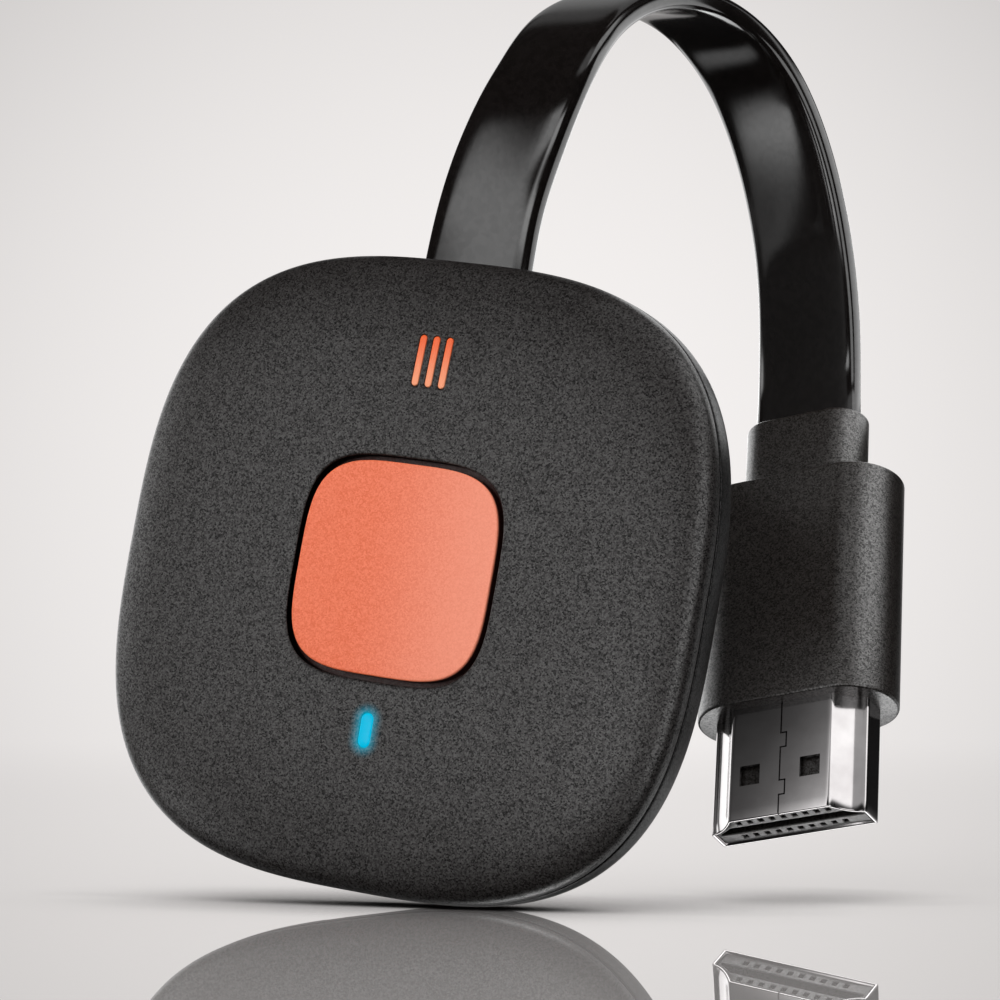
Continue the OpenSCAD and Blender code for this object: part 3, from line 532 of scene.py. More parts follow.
HOLES = [Hole(lambda d: squircle(OPEN_HALF + d, OPEN_N, 192),
              lambda x, z: size_of(x, z, OPEN_N) - OPEN_HALF, fillet=0.16, calm=0.5)]
HOLES += [pill_hole(x, SLOT_UP, SLOT_L + FIT, SLOT_W + FIT, fillet=0.07, calm=0.16) for x in SLOT_XS]
HOLES += [pill_hole(0, -LAMP_DOWN, LAMP_L + FIT, LAMP_W + FIT, fillet=0.1, calm=0.4)]


def front_cover_part():
    """Closed shell of the front cover, with filleted openings and the lip that enters the back cover."""
    net_half = HALF * NET_SHARE
    places, loops, edges = [], [], []

    def loop(points):
        base = len(places)
        places.extend(map(tuple, points))
        ids = list(range(base, base + len(points)))
        edges.extend(zip(ids, ids[1:] + ids[:1]))
        return ids

    rim = loop(squircle(net_half, 3, AROUND))
    for hole in HOLES:
        loops.append(loop(hole.outline_at(0)))
        for angle in (25, 50, 90):
            loop(hole.outline_at(hole.fillet * (1 - math.cos(math.radians(angle)))))
        loop(hole.outline_at(hole.fillet + hole.calm))
    pitch = 0.7
    reach = int(net_half / pitch) + 1
    for j in range(-reach, reach + 1):
        for i in range(-reach, reach + 1):
            x, z = (i + 0.5 * (j % 2)) * pitch, j * pitch * 0.87
            if size_of(x, z, 3) < net_half - 0.45 and all(
                    h.distance(x, z) > h.fillet + h.calm + 0.2 for h in HOLES):
                places.append((x, z))
    flat, _, triangles, origins, _, _ = delaunay_2d_cdt([Vector(p) for p in places], edges, [], 0, 1e-6, True)
    index = {source: i for i, sources in enumerate(origins) for source in sources}
    flat = np.array([tuple(p) for p in flat])
    loops = [[index[i] for i in ids] for ids in loops]
    rim = [index[i] for i in rim]
    holes = [set(ids) for ids in loops]
    triangles = [t for t in triangles if not any(all(i in hole for i in t) for hole in holes)]

    x, z = flat[:, 0], flat[:, 1]
    y = front_y(x, z)
    for hole in HOLES:
        short = np.clip(hole.fillet - np.maximum(hole.distance(x, z), 0), 0, hole.fillet)
        y = y + hole.fillet - np.sqrt(hole.fillet ** 2 - short ** 2)
    outer = np.stack([x, y, z], 1)
    inner = np.stack([x, front_in_y(x, z), z], 1)
    count = len(flat)
    points = [*outer, *inner]
    faces = [tuple(t) for t in triangles] + [tuple(count + i for i in reversed(t)) for t in triangles]
    for ids in loops:
        faces += [(a, count + a, count + b, b) for a, b in zip(ids, ids[1:] + ids[:1])]

    # Rings from the net out over the rim, round the seam's edge and back in over the lip
    fine = np.cos(np.linspace(math.acos(NET_SHARE ** (FLAT / 2)), 0, 4000))
    s = fine ** (2 / FLAT)
    profile = np.stack([s * HALF, -RISE * dome(s, FLAT)], 1)
    along = np.concatenate([[0], np.cumsum(np.linalg.norm(np.diff(profile, axis=0), axis=1))])
    edge = 0.13
    at = np.linspace(0, along[-1] - edge, 34)[1:]
    rings = [(np.interp(a, along, profile[:, 0]), np.interp(a, along, profile[:, 1])) for a in at]
    rings += [(HALF - edge * (1 - math.cos(a)), -edge + edge * math.sin(a))
              for a in np.radians((22, 45, 67, 90))]
    lip_out, lip_in, reach_y = IN_HALF - 0.05, IN_HALF - 0.85, 1.0
    rings += [(lip_out, 0), (lip_out, reach_y), (lip_in, reach_y)]
    rings += [(h, float(-(RISE - WALL) * dome(h / IN_HALF, FLAT))) for h in (lip_in, 23.6, 23.2, 22.8)]

    def band(a, b):
        return [(a[i], a[(i + 1) % AROUND], b[(i + 1) % AROUND], b[i]) for i in range(AROUND)]

    unit = squircle(1, 3, AROUND)
    previous = rim
    for h, depth in rings:
        base = len(points)
        points += [(h * c, depth, h * d) for c, d in unit]
        ring = list(range(base, base + AROUND))
        faces += band(previous, ring)
        previous = ring
    faces += band(previous, [count + i for i in rim])
    return at_puck(points), faces


def puck_rings(rings, n, steps):
    """Rings at_puck from (half size, y) pairs."""
    unit = squircle(1, n, steps)
    return [at_puck([(h * c, y, h * d) for c, d in unit]) for h, y in rings]


# Frame behind the front that guides the button's flange
GUIDE_IN, GUIDE_OUT = 10.05, 10.75
GUIDE_FRONT, GUIDE_BACK = -2.17, -1.223
guide_frame = skin(puck_rings([(GUIDE_IN, GUIDE_FRONT), (GUIDE_OUT, GUIDE_FRONT), (GUIDE_OUT, GUIDE_BACK),
                               (GUIDE_IN, GUIDE_BACK)], OPEN_N, 96), closed=True)
front = piece("front_shell", [front_cover_part(), guide_frame], puck_paint, ("front_cover",),
              sharp=50)

# ---------------------------------------------------------------- back cover

BACK, BACK_FULL, BACK_N = 6.8, 7.0, 4.0


def back_cover_part():
    """Closed shell of the back cover, with the groove along the seam."""
    out_flat = (1 - (BACK / BACK_FULL) ** BACK_N) ** (1 / BACK_N)
    in_full, floor = BACK_FULL - WALL, BACK - WALL
    in_flat = (1 - (floor / in_full) ** BACK_N) ** (1 / BACK_N)

    def profile(full, half, flat, steps, skip):
        a = np.cos(np.linspace(0, math.acos(flat ** (BACK_N / 2)), 3000)) ** (2 / BACK_N)
        p = np.stack([a * half, full * dome(a, BACK_N)], 1)
        along = np.concatenate([[0], np.cumsum(np.linalg.norm(np.diff(p, axis=0), axis=1))])
        at = np.linspace(skip, along[-1], steps)
        return [(np.interp(t, along, p[:, 0]), np.interp(t, along, p[:, 1])) for t in at]

    edge = 0.12
    groove_y, groove_half = 0.3, HALF - 0.35
    rings = [(groove_half, 0), (groove_half, groove_y)]
    rings += [(HALF - edge + edge * math.sin(a), groove_y + edge * (1 - math.cos(a))) for a in
              np.radians((0, 22, 45, 67, 90))]
    rings += profile(BACK_FULL, HALF, out_flat, 40, groove_y + edge)[1:]
    rings += [(out_flat * HALF * k, BACK) for k in (0.97, 0.7, 0.35, 0.02)]
    inside = profile(in_full, IN_HALF, in_flat, 20, 0)
    inside += [(in_flat * IN_HALF * k, floor) for k in (0.7, 0.35, 0.02)]
    outer_part = puck_rings(rings, 3, AROUND)
    inner_part = puck_rings(inside[::-1], 3, AROUND)
    points, faces = skin(outer_part, caps=False)
    base = len(points)
    more, more_faces = skin(inner_part, caps=False)
    points = [*points, *more]
    faces = [*faces, *(tuple(base + i for i in f) for f in more_faces)]
    k = AROUND
    outer_last, inner_first = (len(outer_part) - 1) * k, base
    inner_last = base + (len(inner_part) - 1) * k
    faces.append(tuple(outer_last + i for i in range(k)))
    faces.append(tuple(inner_first + i for i in reversed(range(k))))
    faces += [(inner_last + i, inner_last + (i + 1) % k, (i + 1) % k, i) for i in range(k)]
    return points, faces


def pillar(outline, z0, z1, place):
    """Straight prism of an outline along the frame's z."""
    return skin([place([(x, y, z) for x, y in outline]) for z in (z0, z1)])


back = piece("back_shell", [back_cover_part()], back_paint, ("back_cover",), sharp=50)
INLET_Y, INLET_W, INLET_H, INLET_R, INLET_TOP = 3.228, 8.0, 3.1, 0.95, -20.8
EXIT_ROOM, EXIT_LOW = 1.5, 22.97
PAST_PUCK = 30


def at_exit(p):
    """Frame of the lead where it leaves the puck."""
    return at_puck(np.asarray(p, float) + (-LEAD_LEFT, LEAD_BACK, 0))


def round_rect(w, h, r, steps=6):
    points = []
    for sx, sy, start in ((1, 1, 0), (-1, 1, 90), (-1, -1, 180), (1, -1, 270)):
        for a in np.radians(np.linspace(start, start + 90, steps + 1)):
            points.append((sx * (w / 2 - r) + r * math.cos(a), sy * (h / 2 - r) + r * math.sin(a)))
    return np.array(points)


cut(back, [pillar(stadium(LEAD_W + EXIT_ROOM, LEAD_T + EXIT_ROOM), EXIT_LOW, PAST_PUCK, at_exit),
           pillar(round_rect(INLET_W, INLET_H, INLET_R) + (0, INLET_Y), -PAST_PUCK, INLET_TOP, at_puck)],
    sharp=50)

# ---------------------------------------------------------------- button, slots and status light


def button_part():
    """Slightly domed cap, its retaining flange and the post behind it."""
    top, edge_y, half, r = BUTTON_TOP, BUTTON_TOP + 0.03, 8.7, 0.14
    flange_half, flange_front, flange_back = 9.95, -2.122, -1.523
    post_r, post_end = 1.5, -1.123
    rings = [(k, top + (edge_y - top) * (k / (half - r)) ** 2) for k in np.linspace(0.15, half - r, 14)]
    rings += [(half - inset, edge_y + depth) for inset, depth in arc_steps(r, 6)[1:]]
    rings += [(half, flange_front), (flange_half, flange_front), (flange_half, flange_back)]
    body = puck_rings(rings, OPEN_N, 160)
    circle = squircle(post_r, 2, 160)
    body += [at_puck([(x, y, z) for x, z in circle]) for y in (flange_back, post_end)]
    return skin(body)


piece("button_cap", [button_part()], button_paint, ("mode_button",), "button")


def pill_part(cx, cz, length, width, round_r, sink, y_low, steps=4):
    """Pill whose top follows the dome, sunk a little below it, down to y_low."""
    arc = 12

    def ring(inset, depth):
        p = stadium(length - 2 * inset, width - 2 * inset, arc=arc, straight=9)
        x, z = -p[:, 1] + cx, p[:, 0] + cz
        y = front_y(x, z) + sink + depth if depth is not None else np.full(len(x), y_low)
        return at_puck(np.stack([x, y, z], 1))

    rings = [ring(width * 0.36, -0.25 * round_r)] + [ring(i, d) for i, d in arc_steps(round_r, steps)]
    rings.append(ring(0, None))
    points, faces = skin(rings, caps=False)
    k = len(rings[0])
    low = (len(rings) - 1) * k
    faces.append(tuple(low + i for i in range(k)))
    # The top is filled by quads across the pill, between points that mirror each other
    half = k // 2
    start = arc // 2
    order = [(start + i) % k for i in range(k)]
    faces += [(order[i], order[i + 1], order[k - 2 - i], order[k - 1 - i]) for i in range(half - 1)]
    return points, faces


SLACK = 0.04
slot_bars = [pill_part(x, SLOT_UP, SLOT_L - SLACK, SLOT_W - SLACK, round_r=0.09, sink=0.015, y_low=-0.80)
             for x in SLOT_XS]
slot_base = skin([at_puck([(x, y, z + SLOT_UP) for x, z in round_rect(4.05, 5.3, 0.4)])
                  for y in (-0.86, 0.2)])
piece("slot_bars", [*slot_bars, slot_base], slot_paint, ("slot_light_guide",), sharp=50)
lamp_pill = pill_part(0, -LAMP_DOWN, LAMP_L - SLACK, LAMP_W - SLACK, round_r=0.16, sink=0.0, y_low=-0.9)
lamp_rim = skin([at_puck([(-q, y, p - LAMP_DOWN) for p, q in stadium(3.8, 2.1)]) for y in (-1.5, -0.8)])
piece("status_pill", [lamp_pill, lamp_rim], lamp_paint, ("status_light_pipe",), sharp=50)

# ---------------------------------------------------------------- gland, strain relief and plug body


def sleeve(w, t, z0, z1, low_r, high_r, y, place, bore=None, bore_top=0.12, arc=24):
    """Stadium sleeve along z with round outer edges. bore is the (width, thickness) of its hole."""

    def ring(inset, z, size=(w, t)):
        return place([(px, py + y, z) for px, py in stadium(size[0] - 2 * inset, size[1] - 2 * inset, arc=arc,
                                                            straight=6)])

    rings = [ring(i, z0 + d) for i, d in arc_steps(low_r, 5)]
    rings += [ring(i, z1 - d) for i, d in arc_steps(high_r, 5, flip=True)]
    if bore is None:
        return skin(rings)
    rings += [ring(-i, z1 - bore_top + d, bore)
              for i, d in ((bore_top, bore_top), (0.03, bore_top * 0.7), (0, 0))]
    rings.append(ring(0, z0, bore))
    return skin(rings, closed=True)


LEAD_BORE = (LEAD_W + 0.05, LEAD_T + 0.05)
piece("gland_sleeve", [sleeve(LEAD_W + 1.4, LEAD_T + 1.4, 24.4, 26.1, 0.02, 0.3, 0, at_exit, LEAD_BORE),
                       box((-6.7, -1.75, 23.65), (6.7, -1.1, 24.35), at_exit)],
      gland_paint, ("cable_gland",), sharp=50)

BODY_Y, BODY_LOW, BODY_TOP = 0.9, 10.2, 31.5
neck = piece("neck_sleeve", [sleeve(11, 5.3, BODY_TOP + 0.002, NECK_TOP, 0.02, 0.35, BODY_Y, at_plug,
                                    LEAD_BORE)],
             body_paint, ("strain_relief",), sharp=50)
moulding = piece("plug_moulding", [sleeve(17.6, 8.6, BODY_LOW, BODY_TOP, 0.22, 0.3, BODY_Y, at_plug, arc=40)],
                 body_paint, ("plug_body",), sharp=50)

# ---------------------------------------------------------------- plug shell

SHELL_W, SHELL_T, SHEET = 13.9, 4.45, 0.3
SHELL_TOP = 13.2


def shell_outline(step=0.14, blur=0.13):
    """Outer outline of the shell with its folds rounded, evenly spaced."""
    n, w, back, low = 4.5, SHELL_W / 2, SHELL_T / 2, -0.375
    flank = [((1 - u) ** 2 * n + 2 * u * (1 - u) * (n + 1.3) + u * u * (w - 0.1),
              (1 - u) ** 2 * -back + 2 * u * (1 - u) * low + u * u * low) for u in np.linspace(0, 1, 40)]
    right = flank + [(w, low + 0.1), (w, back)]
    path = np.array(right + [(-x, y) for x, y in reversed(right)])
    closed = np.concatenate([path, path[:1]])
    along = np.concatenate([[0], np.cumsum(np.linalg.norm(np.diff(closed, axis=0), axis=1))])
    fine = 0.01
    at = np.arange(0, along[-1], fine)
    dense = np.stack([np.interp(at, along, closed[:, k]) for k in (0, 1)], 1)
    reach = int(4 * blur / fine)
    kernel = np.exp(-0.5 * (np.arange(-reach, reach + 1) * fine / blur) ** 2)
    kernel /= kernel.sum()
    padded = np.concatenate([dense[-reach:], dense, dense[:reach]])
    smooth = np.stack([np.convolve(padded[:, k], kernel, "valid") for k in (0, 1)], 1)
    return smooth[::int(step / fine)]


def inset_outline(points, d):
    way = np.roll(points, -1, 0) - np.roll(points, 1, 0)
    way /= np.linalg.norm(way, axis=1)[:, None]
    return points + d * np.stack([-way[:, 1], way[:, 0]], 1)


SHELL_LINE = shell_outline()


def shell_part():
    def ring(d, z):
        return at_plug([(x, y, z) for x, y in inset_outline(SHELL_LINE, d)])

    r = 0.1
    rings = [ring(0, SHELL_TOP), ring(0, 6), ring(0, 1), ring(0, r)]
    rings += [ring(r * (1 - math.cos(a)), r - r * math.sin(a)) for a in np.radians((30, 60, 90))]
    rings += [ring(SHEET - 0.05, 0), ring(SHEET, 0.05), ring(SHEET, 6), ring(SHEET, SHELL_TOP)]
    return skin(rings, closed=True)


def plug_box(x0, x1, y0, y1, z0, z1):
    return box((x0, y0, z0), (x1, y1, z1), at_plug)


SEAM, TAB, TABS, TAB_L = 0.13, 0.5, (1.75, 6.05), 1.3
WINDOW_XS, WINDOW_HALF, WINDOW_LOW, WINDOW_HIGH = (-2.7, 2.7), 0.9, 3.05, 4.85
front_low, front_high = -SHELL_T / 2 - 1, -SHELL_T / 2 + 0.45
shell = piece("shell_sheet", [shell_part()], shell_paint, ("plug_shell",), sharp=50)


def seam_outline():
    """Path of the seam with its two locking tabs, as one thin closed outline in x and z."""
    h = SEAM / 2
    line = [(0, -1)]
    for low in TABS:
        line += [(0, low), (TAB, low), (TAB, low + TAB_L), (0, low + TAB_L)]
    line.append((0, SHELL_TOP + 1))
    left, right = [], []
    for i, (x, z) in enumerate(line):
        turn = (i - 1) % 4 if 0 < i < len(line) - 1 else None
        dz = {None: 0, 0: h, 1: h, 2: -h, 3: -h}[turn]
        left.append((x - h, z + dz))
        right.append((x + h, z - dz))
    return left + right[::-1]


seam = seam_outline()
seam_cutter = skin([at_plug([(x, y, z) for x, z in seam]) for y in (front_low, front_high)])
windows = [plug_box(x - WINDOW_HALF, x + WINDOW_HALF, front_low, front_high, WINDOW_LOW, WINDOW_HIGH)
           for x in WINDOW_XS]
cut(shell, [seam_cutter, *windows], sharp=50)

# ---------------------------------------------------------------- insulator

FACE_Z = 0.2


def insulator_colours():
    """Grey face, with painted shade that turns it dark inside the slot and the cavities."""
    p = moulded("insulator_grey", (0.26, 0.26, 0.26), (0.34, 0.34, 0.342), (0.4, 0.5), grain_depth=0.004)
    into = p.add("ShaderNodeVectorMath")
    into.operation = "DOT_PRODUCT"
    p.tree.links.new(p.place, into.inputs[0])
    into.inputs[1].default_value = tuple(PLUG[:, 2])
    # Painted shade: past the face, into the slot and the cavities, the plastic turns near black
    inside = p.span(into.outputs["Value"], (FACE_Z + 0.03) * MM, (FACE_Z + 0.15) * MM)
    face_colour = p.shader.inputs["Base Color"].links[0].from_socket
    p.set(p.shader, Base_Color=p.blend(inside, face_colour, (0.007, 0.005, 0.004)))
    return p


insulator_paint = insulator_colours()


def insulator_part():
    def ring(z, d=0.0):
        return at_plug([(x, y, z) for x, y in inset_outline(SHELL_LINE, SHEET + 0.04 + d)])

    return skin([ring(FACE_Z, 0.04), ring(FACE_Z + 0.04), ring(SHELL_TOP)])


insulator = piece("tongue_block", [insulator_part()], insulator_paint, ("plug_insulator",),
                  sharp=50)
MOUTH = [(-6.4, 0.6), (-6.4, 0.3), (-5.1, -0.6), (5.1, -0.6), (6.4, 0.3), (6.4, 0.6)]
mouth_cutter = pillar(MOUTH, FACE_Z - 1, 8.7, at_plug)
ROW_Y, CAVITY_X, CAVITY_Y = 1.2, 0.25, 0.325
narrow = [(i - 4, -ROW_Y) for i in range(9)]
wide = [(i - 4.5, ROW_Y) for i in range(10)]
cavities = [plug_box(x - CAVITY_X, x + CAVITY_X, y - CAVITY_Y, y + CAVITY_Y, FACE_Z - 1, 14.2)
            for x, y in narrow + wide]
pockets = [plug_box(x - 1.3, x + 1.3, -2.4, -1.56, 2.6, 5.3) for x in WINDOW_XS]
cut(insulator, [mouth_cutter, *cavities, *pockets], sharp=50)

# ---------------------------------------------------------------- carried-over CAD nodes

CAD_PAINTS = {
    "board_green": moulded("board_green", (0.006, 0.055, 0.022), (0.012, 0.085, 0.035), (0.3, 0.4),
                           grain_mm=0.5),
    "chip_black": moulded("chip_black", (0.012, 0.012, 0.013), (0.03, 0.03, 0.032), (0.5, 0.65)),
    "lamp_clear": moulded("lamp_clear", (0.75, 0.78, 0.7), (0.85, 0.87, 0.8), (0.2, 0.3), grain_mm=0.3),
    "switch_black": moulded("switch_black", (0.02, 0.02, 0.02), (0.04, 0.04, 0.04), (0.45, 0.55)),
    "plastic_natural": moulded("plastic_natural", (0.66, 0.62, 0.52), (0.76, 0.73, 0.64), (0.4, 0.5)),
    "ceramic_tan": moulded("ceramic_tan", (0.33, 0.22, 0.12), (0.45, 0.32, 0.2), (0.5, 0.6)),
    "can_steel": metal("can_steel", (0.55, 0.55, 0.56), (0.66, 0.66, 0.67), (0.25, 0.4)),
    "screw_steel": metal("screw_steel", (0.45, 0.45, 0.46), (0.6, 0.6, 0.61), (0.25, 0.4), (1, 1, 1)),
    "spreader_aluminium": metal("spreader_aluminium", (0.7, 0.71, 0.72), (0.8, 0.81, 0.82), (0.3, 0.45)),
    "pad_grey": moulded("pad_grey", (0.25, 0.3, 0.36), (0.35, 0.4, 0.46), (0.6, 0.7)),
    "contact_gold": metal("contact_gold", (0.72, 0.48, 0.16), (0.85, 0.6, 0.25), (0.2, 0.3)),
    "copper": metal("copper", (0.68, 0.3, 0.16), (0.8, 0.4, 0.22), (0.25, 0.4)),
    "lead_black": lead_paint,
    "shell_metal": shell_paint,
    "insulator_grey": insulator_paint,
    "plug_black": body_paint,
    "gland_rubber": gland_paint,
}
slot_of = {part["node"]: part["material_slot"] for part in frame["record"]["subparts"]}
for name, node in frame["nodes"].items():
    if node.hide_render:
        continue
    paint = CAD_PAINTS[slot_of[name]]
    node.data.materials.clear()
    node.data.materials.append(paint.material)

# ---------------------------------------------------------------- length and middle points of the lead

lead_length = float(np.linalg.norm(np.diff(middles, axis=0), axis=1).sum()) * MM
[tuple(p) for p in middles * MM]

# ---------------------------------------------------------------- floor, backdrop and light

FLOOR_UP = Vector((-0.1347, -0.1244, 0.9831)).normalized()
covers = np.array([v.co for o in (front, back) for v in o.data.vertices])
lowest = covers[np.argmin(covers @ np.array(FLOOR_UP))]
floor_mesh = bpy.data.meshes.new("floor")
side = FLOOR_UP.cross(Vector((0, 1, 0))).normalized()
deep = FLOOR_UP.cross(side).normalized()
spot = Vector(lowest) - FLOOR_UP * 0.00003
FLOOR_R, FLOOR_SIDES = 0.6, 96
ring_points = [spot + (side * math.cos(a) + deep * math.sin(a)) * FLOOR_R
               for a in np.linspace(0, 2 * math.pi, FLOOR_SIDES + 1)[:-1]]
floor_mesh.from_pydata([tuple(p) for p in ring_points], [], [tuple(range(FLOOR_SIDES))])
floor = bpy.data.objects.new("floor", floor_mesh)
bpy.context.scene.collection.objects.link(floor)
if floor_mesh.polygons[0].normal.dot(FLOOR_UP) < 0:
    floor_mesh.flip_normals()

PALE = (0.79, 0.765, 0.755)


def mixed(p, share, first, second):
    """Mix of two shaders by a share."""
    node = p.add("ShaderNodeMixShader", Fac=share)
    p.tree.links.new(first.outputs[0], node.inputs[1])
    p.tree.links.new(second.outputs[0], node.inputs[2])
    return node


def shown_as(p, shader):
    p.tree.links.new(shader.outputs[0], p.tree.nodes["Material Output"].inputs["Surface"])


def floor_colours():
    """Pale gloss board with a painted contact shadow, dark where the part closes it in, that fades out at a
    distance and from below.
    """
    p = Paint("floor_pale", roughness=0.0, Base_Color=(0.48, 0.465, 0.459), IOR=1.5)
    away = p.add("ShaderNodeVectorMath")
    away.operation = "DISTANCE"
    p.tree.links.new(p.place, away.inputs[0])
    away.inputs[1].default_value = spot
    fading = p.span(away.outputs["Value"], 0.2, 0.5, 0, 1, smooth=True)
    clear = p.add("ShaderNodeBsdfTransparent")
    # Painted contact shadow: by ambient occlusion, a dark diffuse takes the place of the board near the part
    shadow_ao = p.add("ShaderNodeAmbientOcclusion", Distance=0.018)
    shadow_ao.samples = 8
    unshadowed_share = p.span(shadow_ao.outputs["AO"], 0.2, 0.9, 0, 1)
    shade = p.add("ShaderNodeBsdfDiffuse", Color=(0.02, 0.018, 0.018))
    board = mixed(p, fading, mixed(p, unshadowed_share, shade, p.shader), clear)
    shown_as(p, mixed(p, p.add("ShaderNodeNewGeometry").outputs["Backfacing"], board, clear))
    return p


floor_paint = floor_colours()
floor_mesh.materials.append(floor_paint.material)
floor.visible_glossy = False

world = bpy.data.worlds.new("studio")
bpy.context.scene.world = world
world.use_nodes = True
wt = world.node_tree


def world_math(operation, a, b):
    node = wt.nodes.new("ShaderNodeMath")
    node.operation = operation
    wt.links.new(a, node.inputs[0])
    wt.links.new(b, node.inputs[1])
    return node.outputs[0]


def world_span(value, low, high, a, b):
    node = wt.nodes.new("ShaderNodeMapRange")
    wt.links.new(value, node.inputs["Value"])
    for name, number in (("From Min", low), ("From Max", high), ("To Min", a), ("To Max", b)):
        node.inputs[name].default_value = number
    return node.outputs[0]


# The backdrop is lightest behind the part. It lights the part and the floor evenly, and the softboxes
# model them.
rays = wt.nodes.new("ShaderNodeLightPath").outputs
shown = world_math("MAXIMUM", world_math("MAXIMUM", rays["Is Camera Ray"], rays["Is Glossy Ray"]),
                   rays["Is Transmission Ray"])
facing = wt.nodes.new("ShaderNodeVectorMath")
facing.operation = "DOT_PRODUCT"
wt.links.new(wt.nodes.new("ShaderNodeTexCoord").outputs["Generated"], facing.inputs[0])
facing.inputs[1].default_value = -CAMERA_BACK
pool = world_span(facing.outputs["Value"], 0.985, 1.0, 0.835, 1.165)
ground = wt.nodes["Background"]
ground.inputs["Color"].default_value = (*PALE, 1)
wt.links.new(world_math("MULTIPLY", pool, world_span(shown, 0, 1, 0.75, 1)), ground.inputs["Strength"])

CENTRE = Vector((-0.024, -0.005, 0.028))


def toward(azimuth, elevation):
    """Direction from the object: azimuth 0 is the front, positive to the right, in degrees."""
    a, e = math.radians(azimuth), math.radians(elevation)
    return Vector((math.sin(a) * math.cos(e), -math.cos(a) * math.cos(e), math.sin(e)))


def softbox(name, way, distance, size, power):
    """Square area light that lights the object but isn't seen in it: the cards below are its reflections."""
    data = bpy.data.lights.new(name, "AREA")
    data.size = size
    data.energy = power
    lamp_object = bpy.data.objects.new(name, data)
    bpy.context.scene.collection.objects.link(lamp_object)
    lamp_object.matrix_world = look(CENTRE + way * distance, way, Vector((0.1, 0.2, 1)).normalized())
    lamp_object.visible_glossy = False
    lamp_object.visible_camera = False


softbox("key_front", toward(-14, 22), 0.7, 0.8, 3.2)
softbox("top", FLOOR_UP, 0.7, 0.9, 1.9)



def card_light():
    """Light of the mesh's glow, as far as its fade lets it. Its back and the floor's mirror don't show it.
    The floor is the one perfect mirror here, so leaving out its rays keeps the cards off the floor."""
    p = Paint("card")
    glow, fade_out = p.add("ShaderNodeAttribute"), p.add("ShaderNodeAttribute")
    glow.attribute_name, fade_out.attribute_name = "glow", "fade"
    light = p.add("ShaderNodeEmission", Strength=glow.outputs["Fac"])
    open_air = p.add("ShaderNodeBsdfTransparent")
    unseen = p.math("MAXIMUM", p.add("ShaderNodeNewGeometry").outputs["Backfacing"],
                    p.add("ShaderNodeLightPath").outputs["Is Singular Ray"])
    shown_as(p, mixed(p, unseen, mixed(p, fade_out.outputs["Fac"], open_air, light), open_air))
    return p


card_paint = card_light()


def around(azimuths, elevations, radius=0.8, centre=CENTRE):
    """Places on a part of a sphere, at shares of its width and height."""
    def place(u, v):
        return centre + radius * toward(azimuths[0] + (azimuths[1] - azimuths[0]) * u,
                                        elevations[0] + (elevations[1] - elevations[0]) * v)

    return place


def upright(start, end, low, high):
    """Places on an upright sheet between two corners in x and y, in millimetres."""
    def place(u, v):
        return Vector((start[0] + (end[0] - start[0]) * u, start[1] + (end[1] - start[1]) * u,
                       low + (high - low) * v)) * MM

    return place


def card(name, place, level, soft=(0.3, 0.3, 0.3, 0.3), steps=24):
    """Sheet that is seen in reflections only, from the side on which place(u, v) runs from right to left.
    level is its brightness. It fades out over the shares soft at its start, end, lower and upper edge."""
    points, glows, fades = [], [], []
    for j in range(steps + 1):
        for i in range(steps + 1):
            u, v = i / steps, j / steps
            points.append(tuple(place(u, v)))
            share = 1.0
            for reach, width in zip((u, 1 - u, v, 1 - v), soft):
                k = min(1.0, reach / width) if width else 1.0
                share *= k * k * (3 - 2 * k)
            fades.append(share)
            glows.append(level(u, v) if callable(level) else level)
    row = steps + 1
    faces = [(j * row + i, (j + 1) * row + i, (j + 1) * row + i + 1, j * row + i + 1)
             for j in range(steps) for i in range(steps)]
    mesh = bpy.data.meshes.new(name)
    mesh.from_pydata(points, [], faces)
    for attribute, values in (("glow", glows), ("fade", fades)):
        mesh.attributes.new(attribute, "FLOAT", "POINT").data.foreach_set("value", values)
    mesh.materials.append(card_paint.material)
    obj = bpy.data.objects.new(name, mesh)
    bpy.context.scene.collection.objects.link(obj)
    for kind in ("camera", "diffuse", "transmission", "volume_scatter", "shadow"):
        setattr(obj, "visible_" + kind, False)


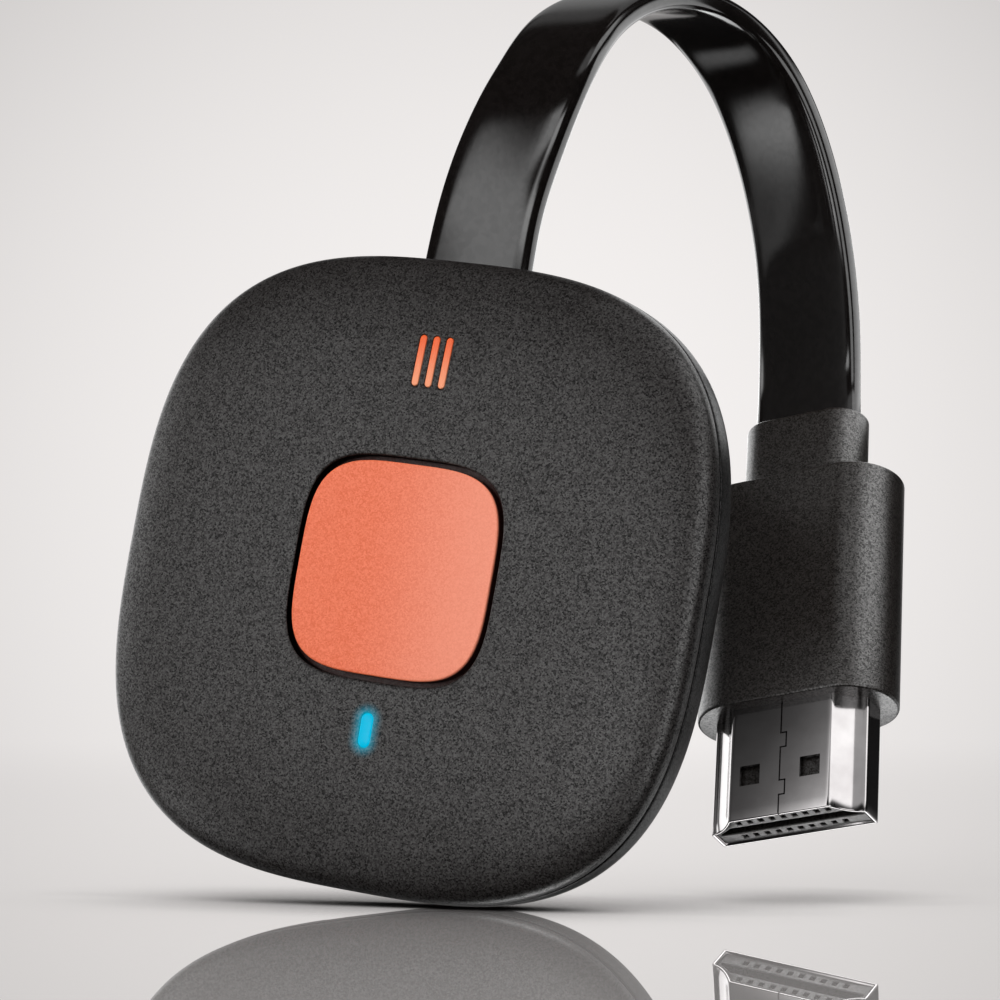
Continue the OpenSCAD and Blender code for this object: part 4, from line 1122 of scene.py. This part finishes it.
# Cards that overlap need different radii, because at one radius they would hide each other. The last
# seven stand near the lead and the plug, inside or across the part's box. They serve the reflections
# only, and none is part of the object.
NONE = (0, 0, 0, 0)
DARK = 0.015
card("dark_round", around((-132, 180), (-85, 85), 1.0), DARK, NONE, 48)
card("grey_high", around((180, 228), (24, 85), 1.0), 0.4, NONE)
card("grey_back", around((112, 179), (-45, 12), 0.98), 0.8, (0.3, 0.1, 0.3, 0.3))
card("dark_low", around((180, 228), (-85, -14), 1.0), DARK, NONE)
card("light_face", around((-46, -10), (-6, 16)), 2.25, (0.25, 0.3, 0.2, 0.3))
card("light_front", around((-24, 16), (-16, 6), 0.82), 3.6, (0.3, 0.3, 0.3, 0.3))
card("light_low", around((-68, -34), (-44, -7), 0.84), 2.6, (0.4, 0.4, 0.45, 0.4))
card("light_side", around((-92, -50), (-10, 14), 0.86), 2.8, (0.3, 0.3, 0.3, 0.3))
card("grey_front", around((-36, 38), (34, 66), 0.88), 0.75, (0.3, 0.0, 0.2, 0.2))
card("light_right", around((36, 124), (34, 72), 0.9), 2.4, (0.05, 0.2, 0.15, 0.2))
card("light_edge", around((28, 66), (-24, 30), 0.92), 2.3, (0.15, 0.15, 0.1, 0.1))
card("light_left", around((-140, -94), (-34, 30), 0.94), 2.4, (0.1, 0.1, 0.1, 0.2))
card("light_under", around((-215, -159), (-80, -45)), 5.0, (0.2, 0.05, 0.2, 0.2))
card("grey_under", around((-122, -86), (-64, -42), 0.96), 0.8, (0.4, 0.4, 0.4, 0.4))
card("grey_top", around((-142, -112), (36, 60), 0.96), 0.2, (0.4, 0.4, 0.4, 0.4))
card("strip_far", upright((8, 11), (-4, 27), 39, 82), 2.2, (0.1, 0.1, 0.05, 0.1))
card("strip_near", upright((-8, -8.7), (-22, 1.1), 36, 66), lambda u, v: 1.1 + 1.9 * v,
     (0.05, 0.1, 0.0, 0.1))
card("edge_far", upright((-9, 33), (-27.5, 26.5), 28, 64), 5.0, (0.1, 0.1, 0.1, 0.1))
card("flag_far", upright((-24, 11.5), (-8, -0.5), 30, 51),
     lambda u, v: 0.08 + 0.3 * u ** 4, (0.15, 0.15, 0.1, 0.32))
card("flag_near_left", upright((-38, -10), (-38, -21), 41, 62), DARK, (0.1, 0.1, 0.0, 0.1))
card("flag_near_right", upright((-20.5, -27), (-12, -13), 41, 64), DARK, (0.1, 0.0, 0.0, 0.1))
card("grey_shell", upright((-17, -8), (1, -8), 0, 22),
     lambda u, v: (1 - v) * (0.13 + 3.0 * u ** 4) + v * (0.03 + 0.22 * min(1.0, 3 * u * u)), NONE)

bpy.context.scene.view_settings.view_transform = "Standard"
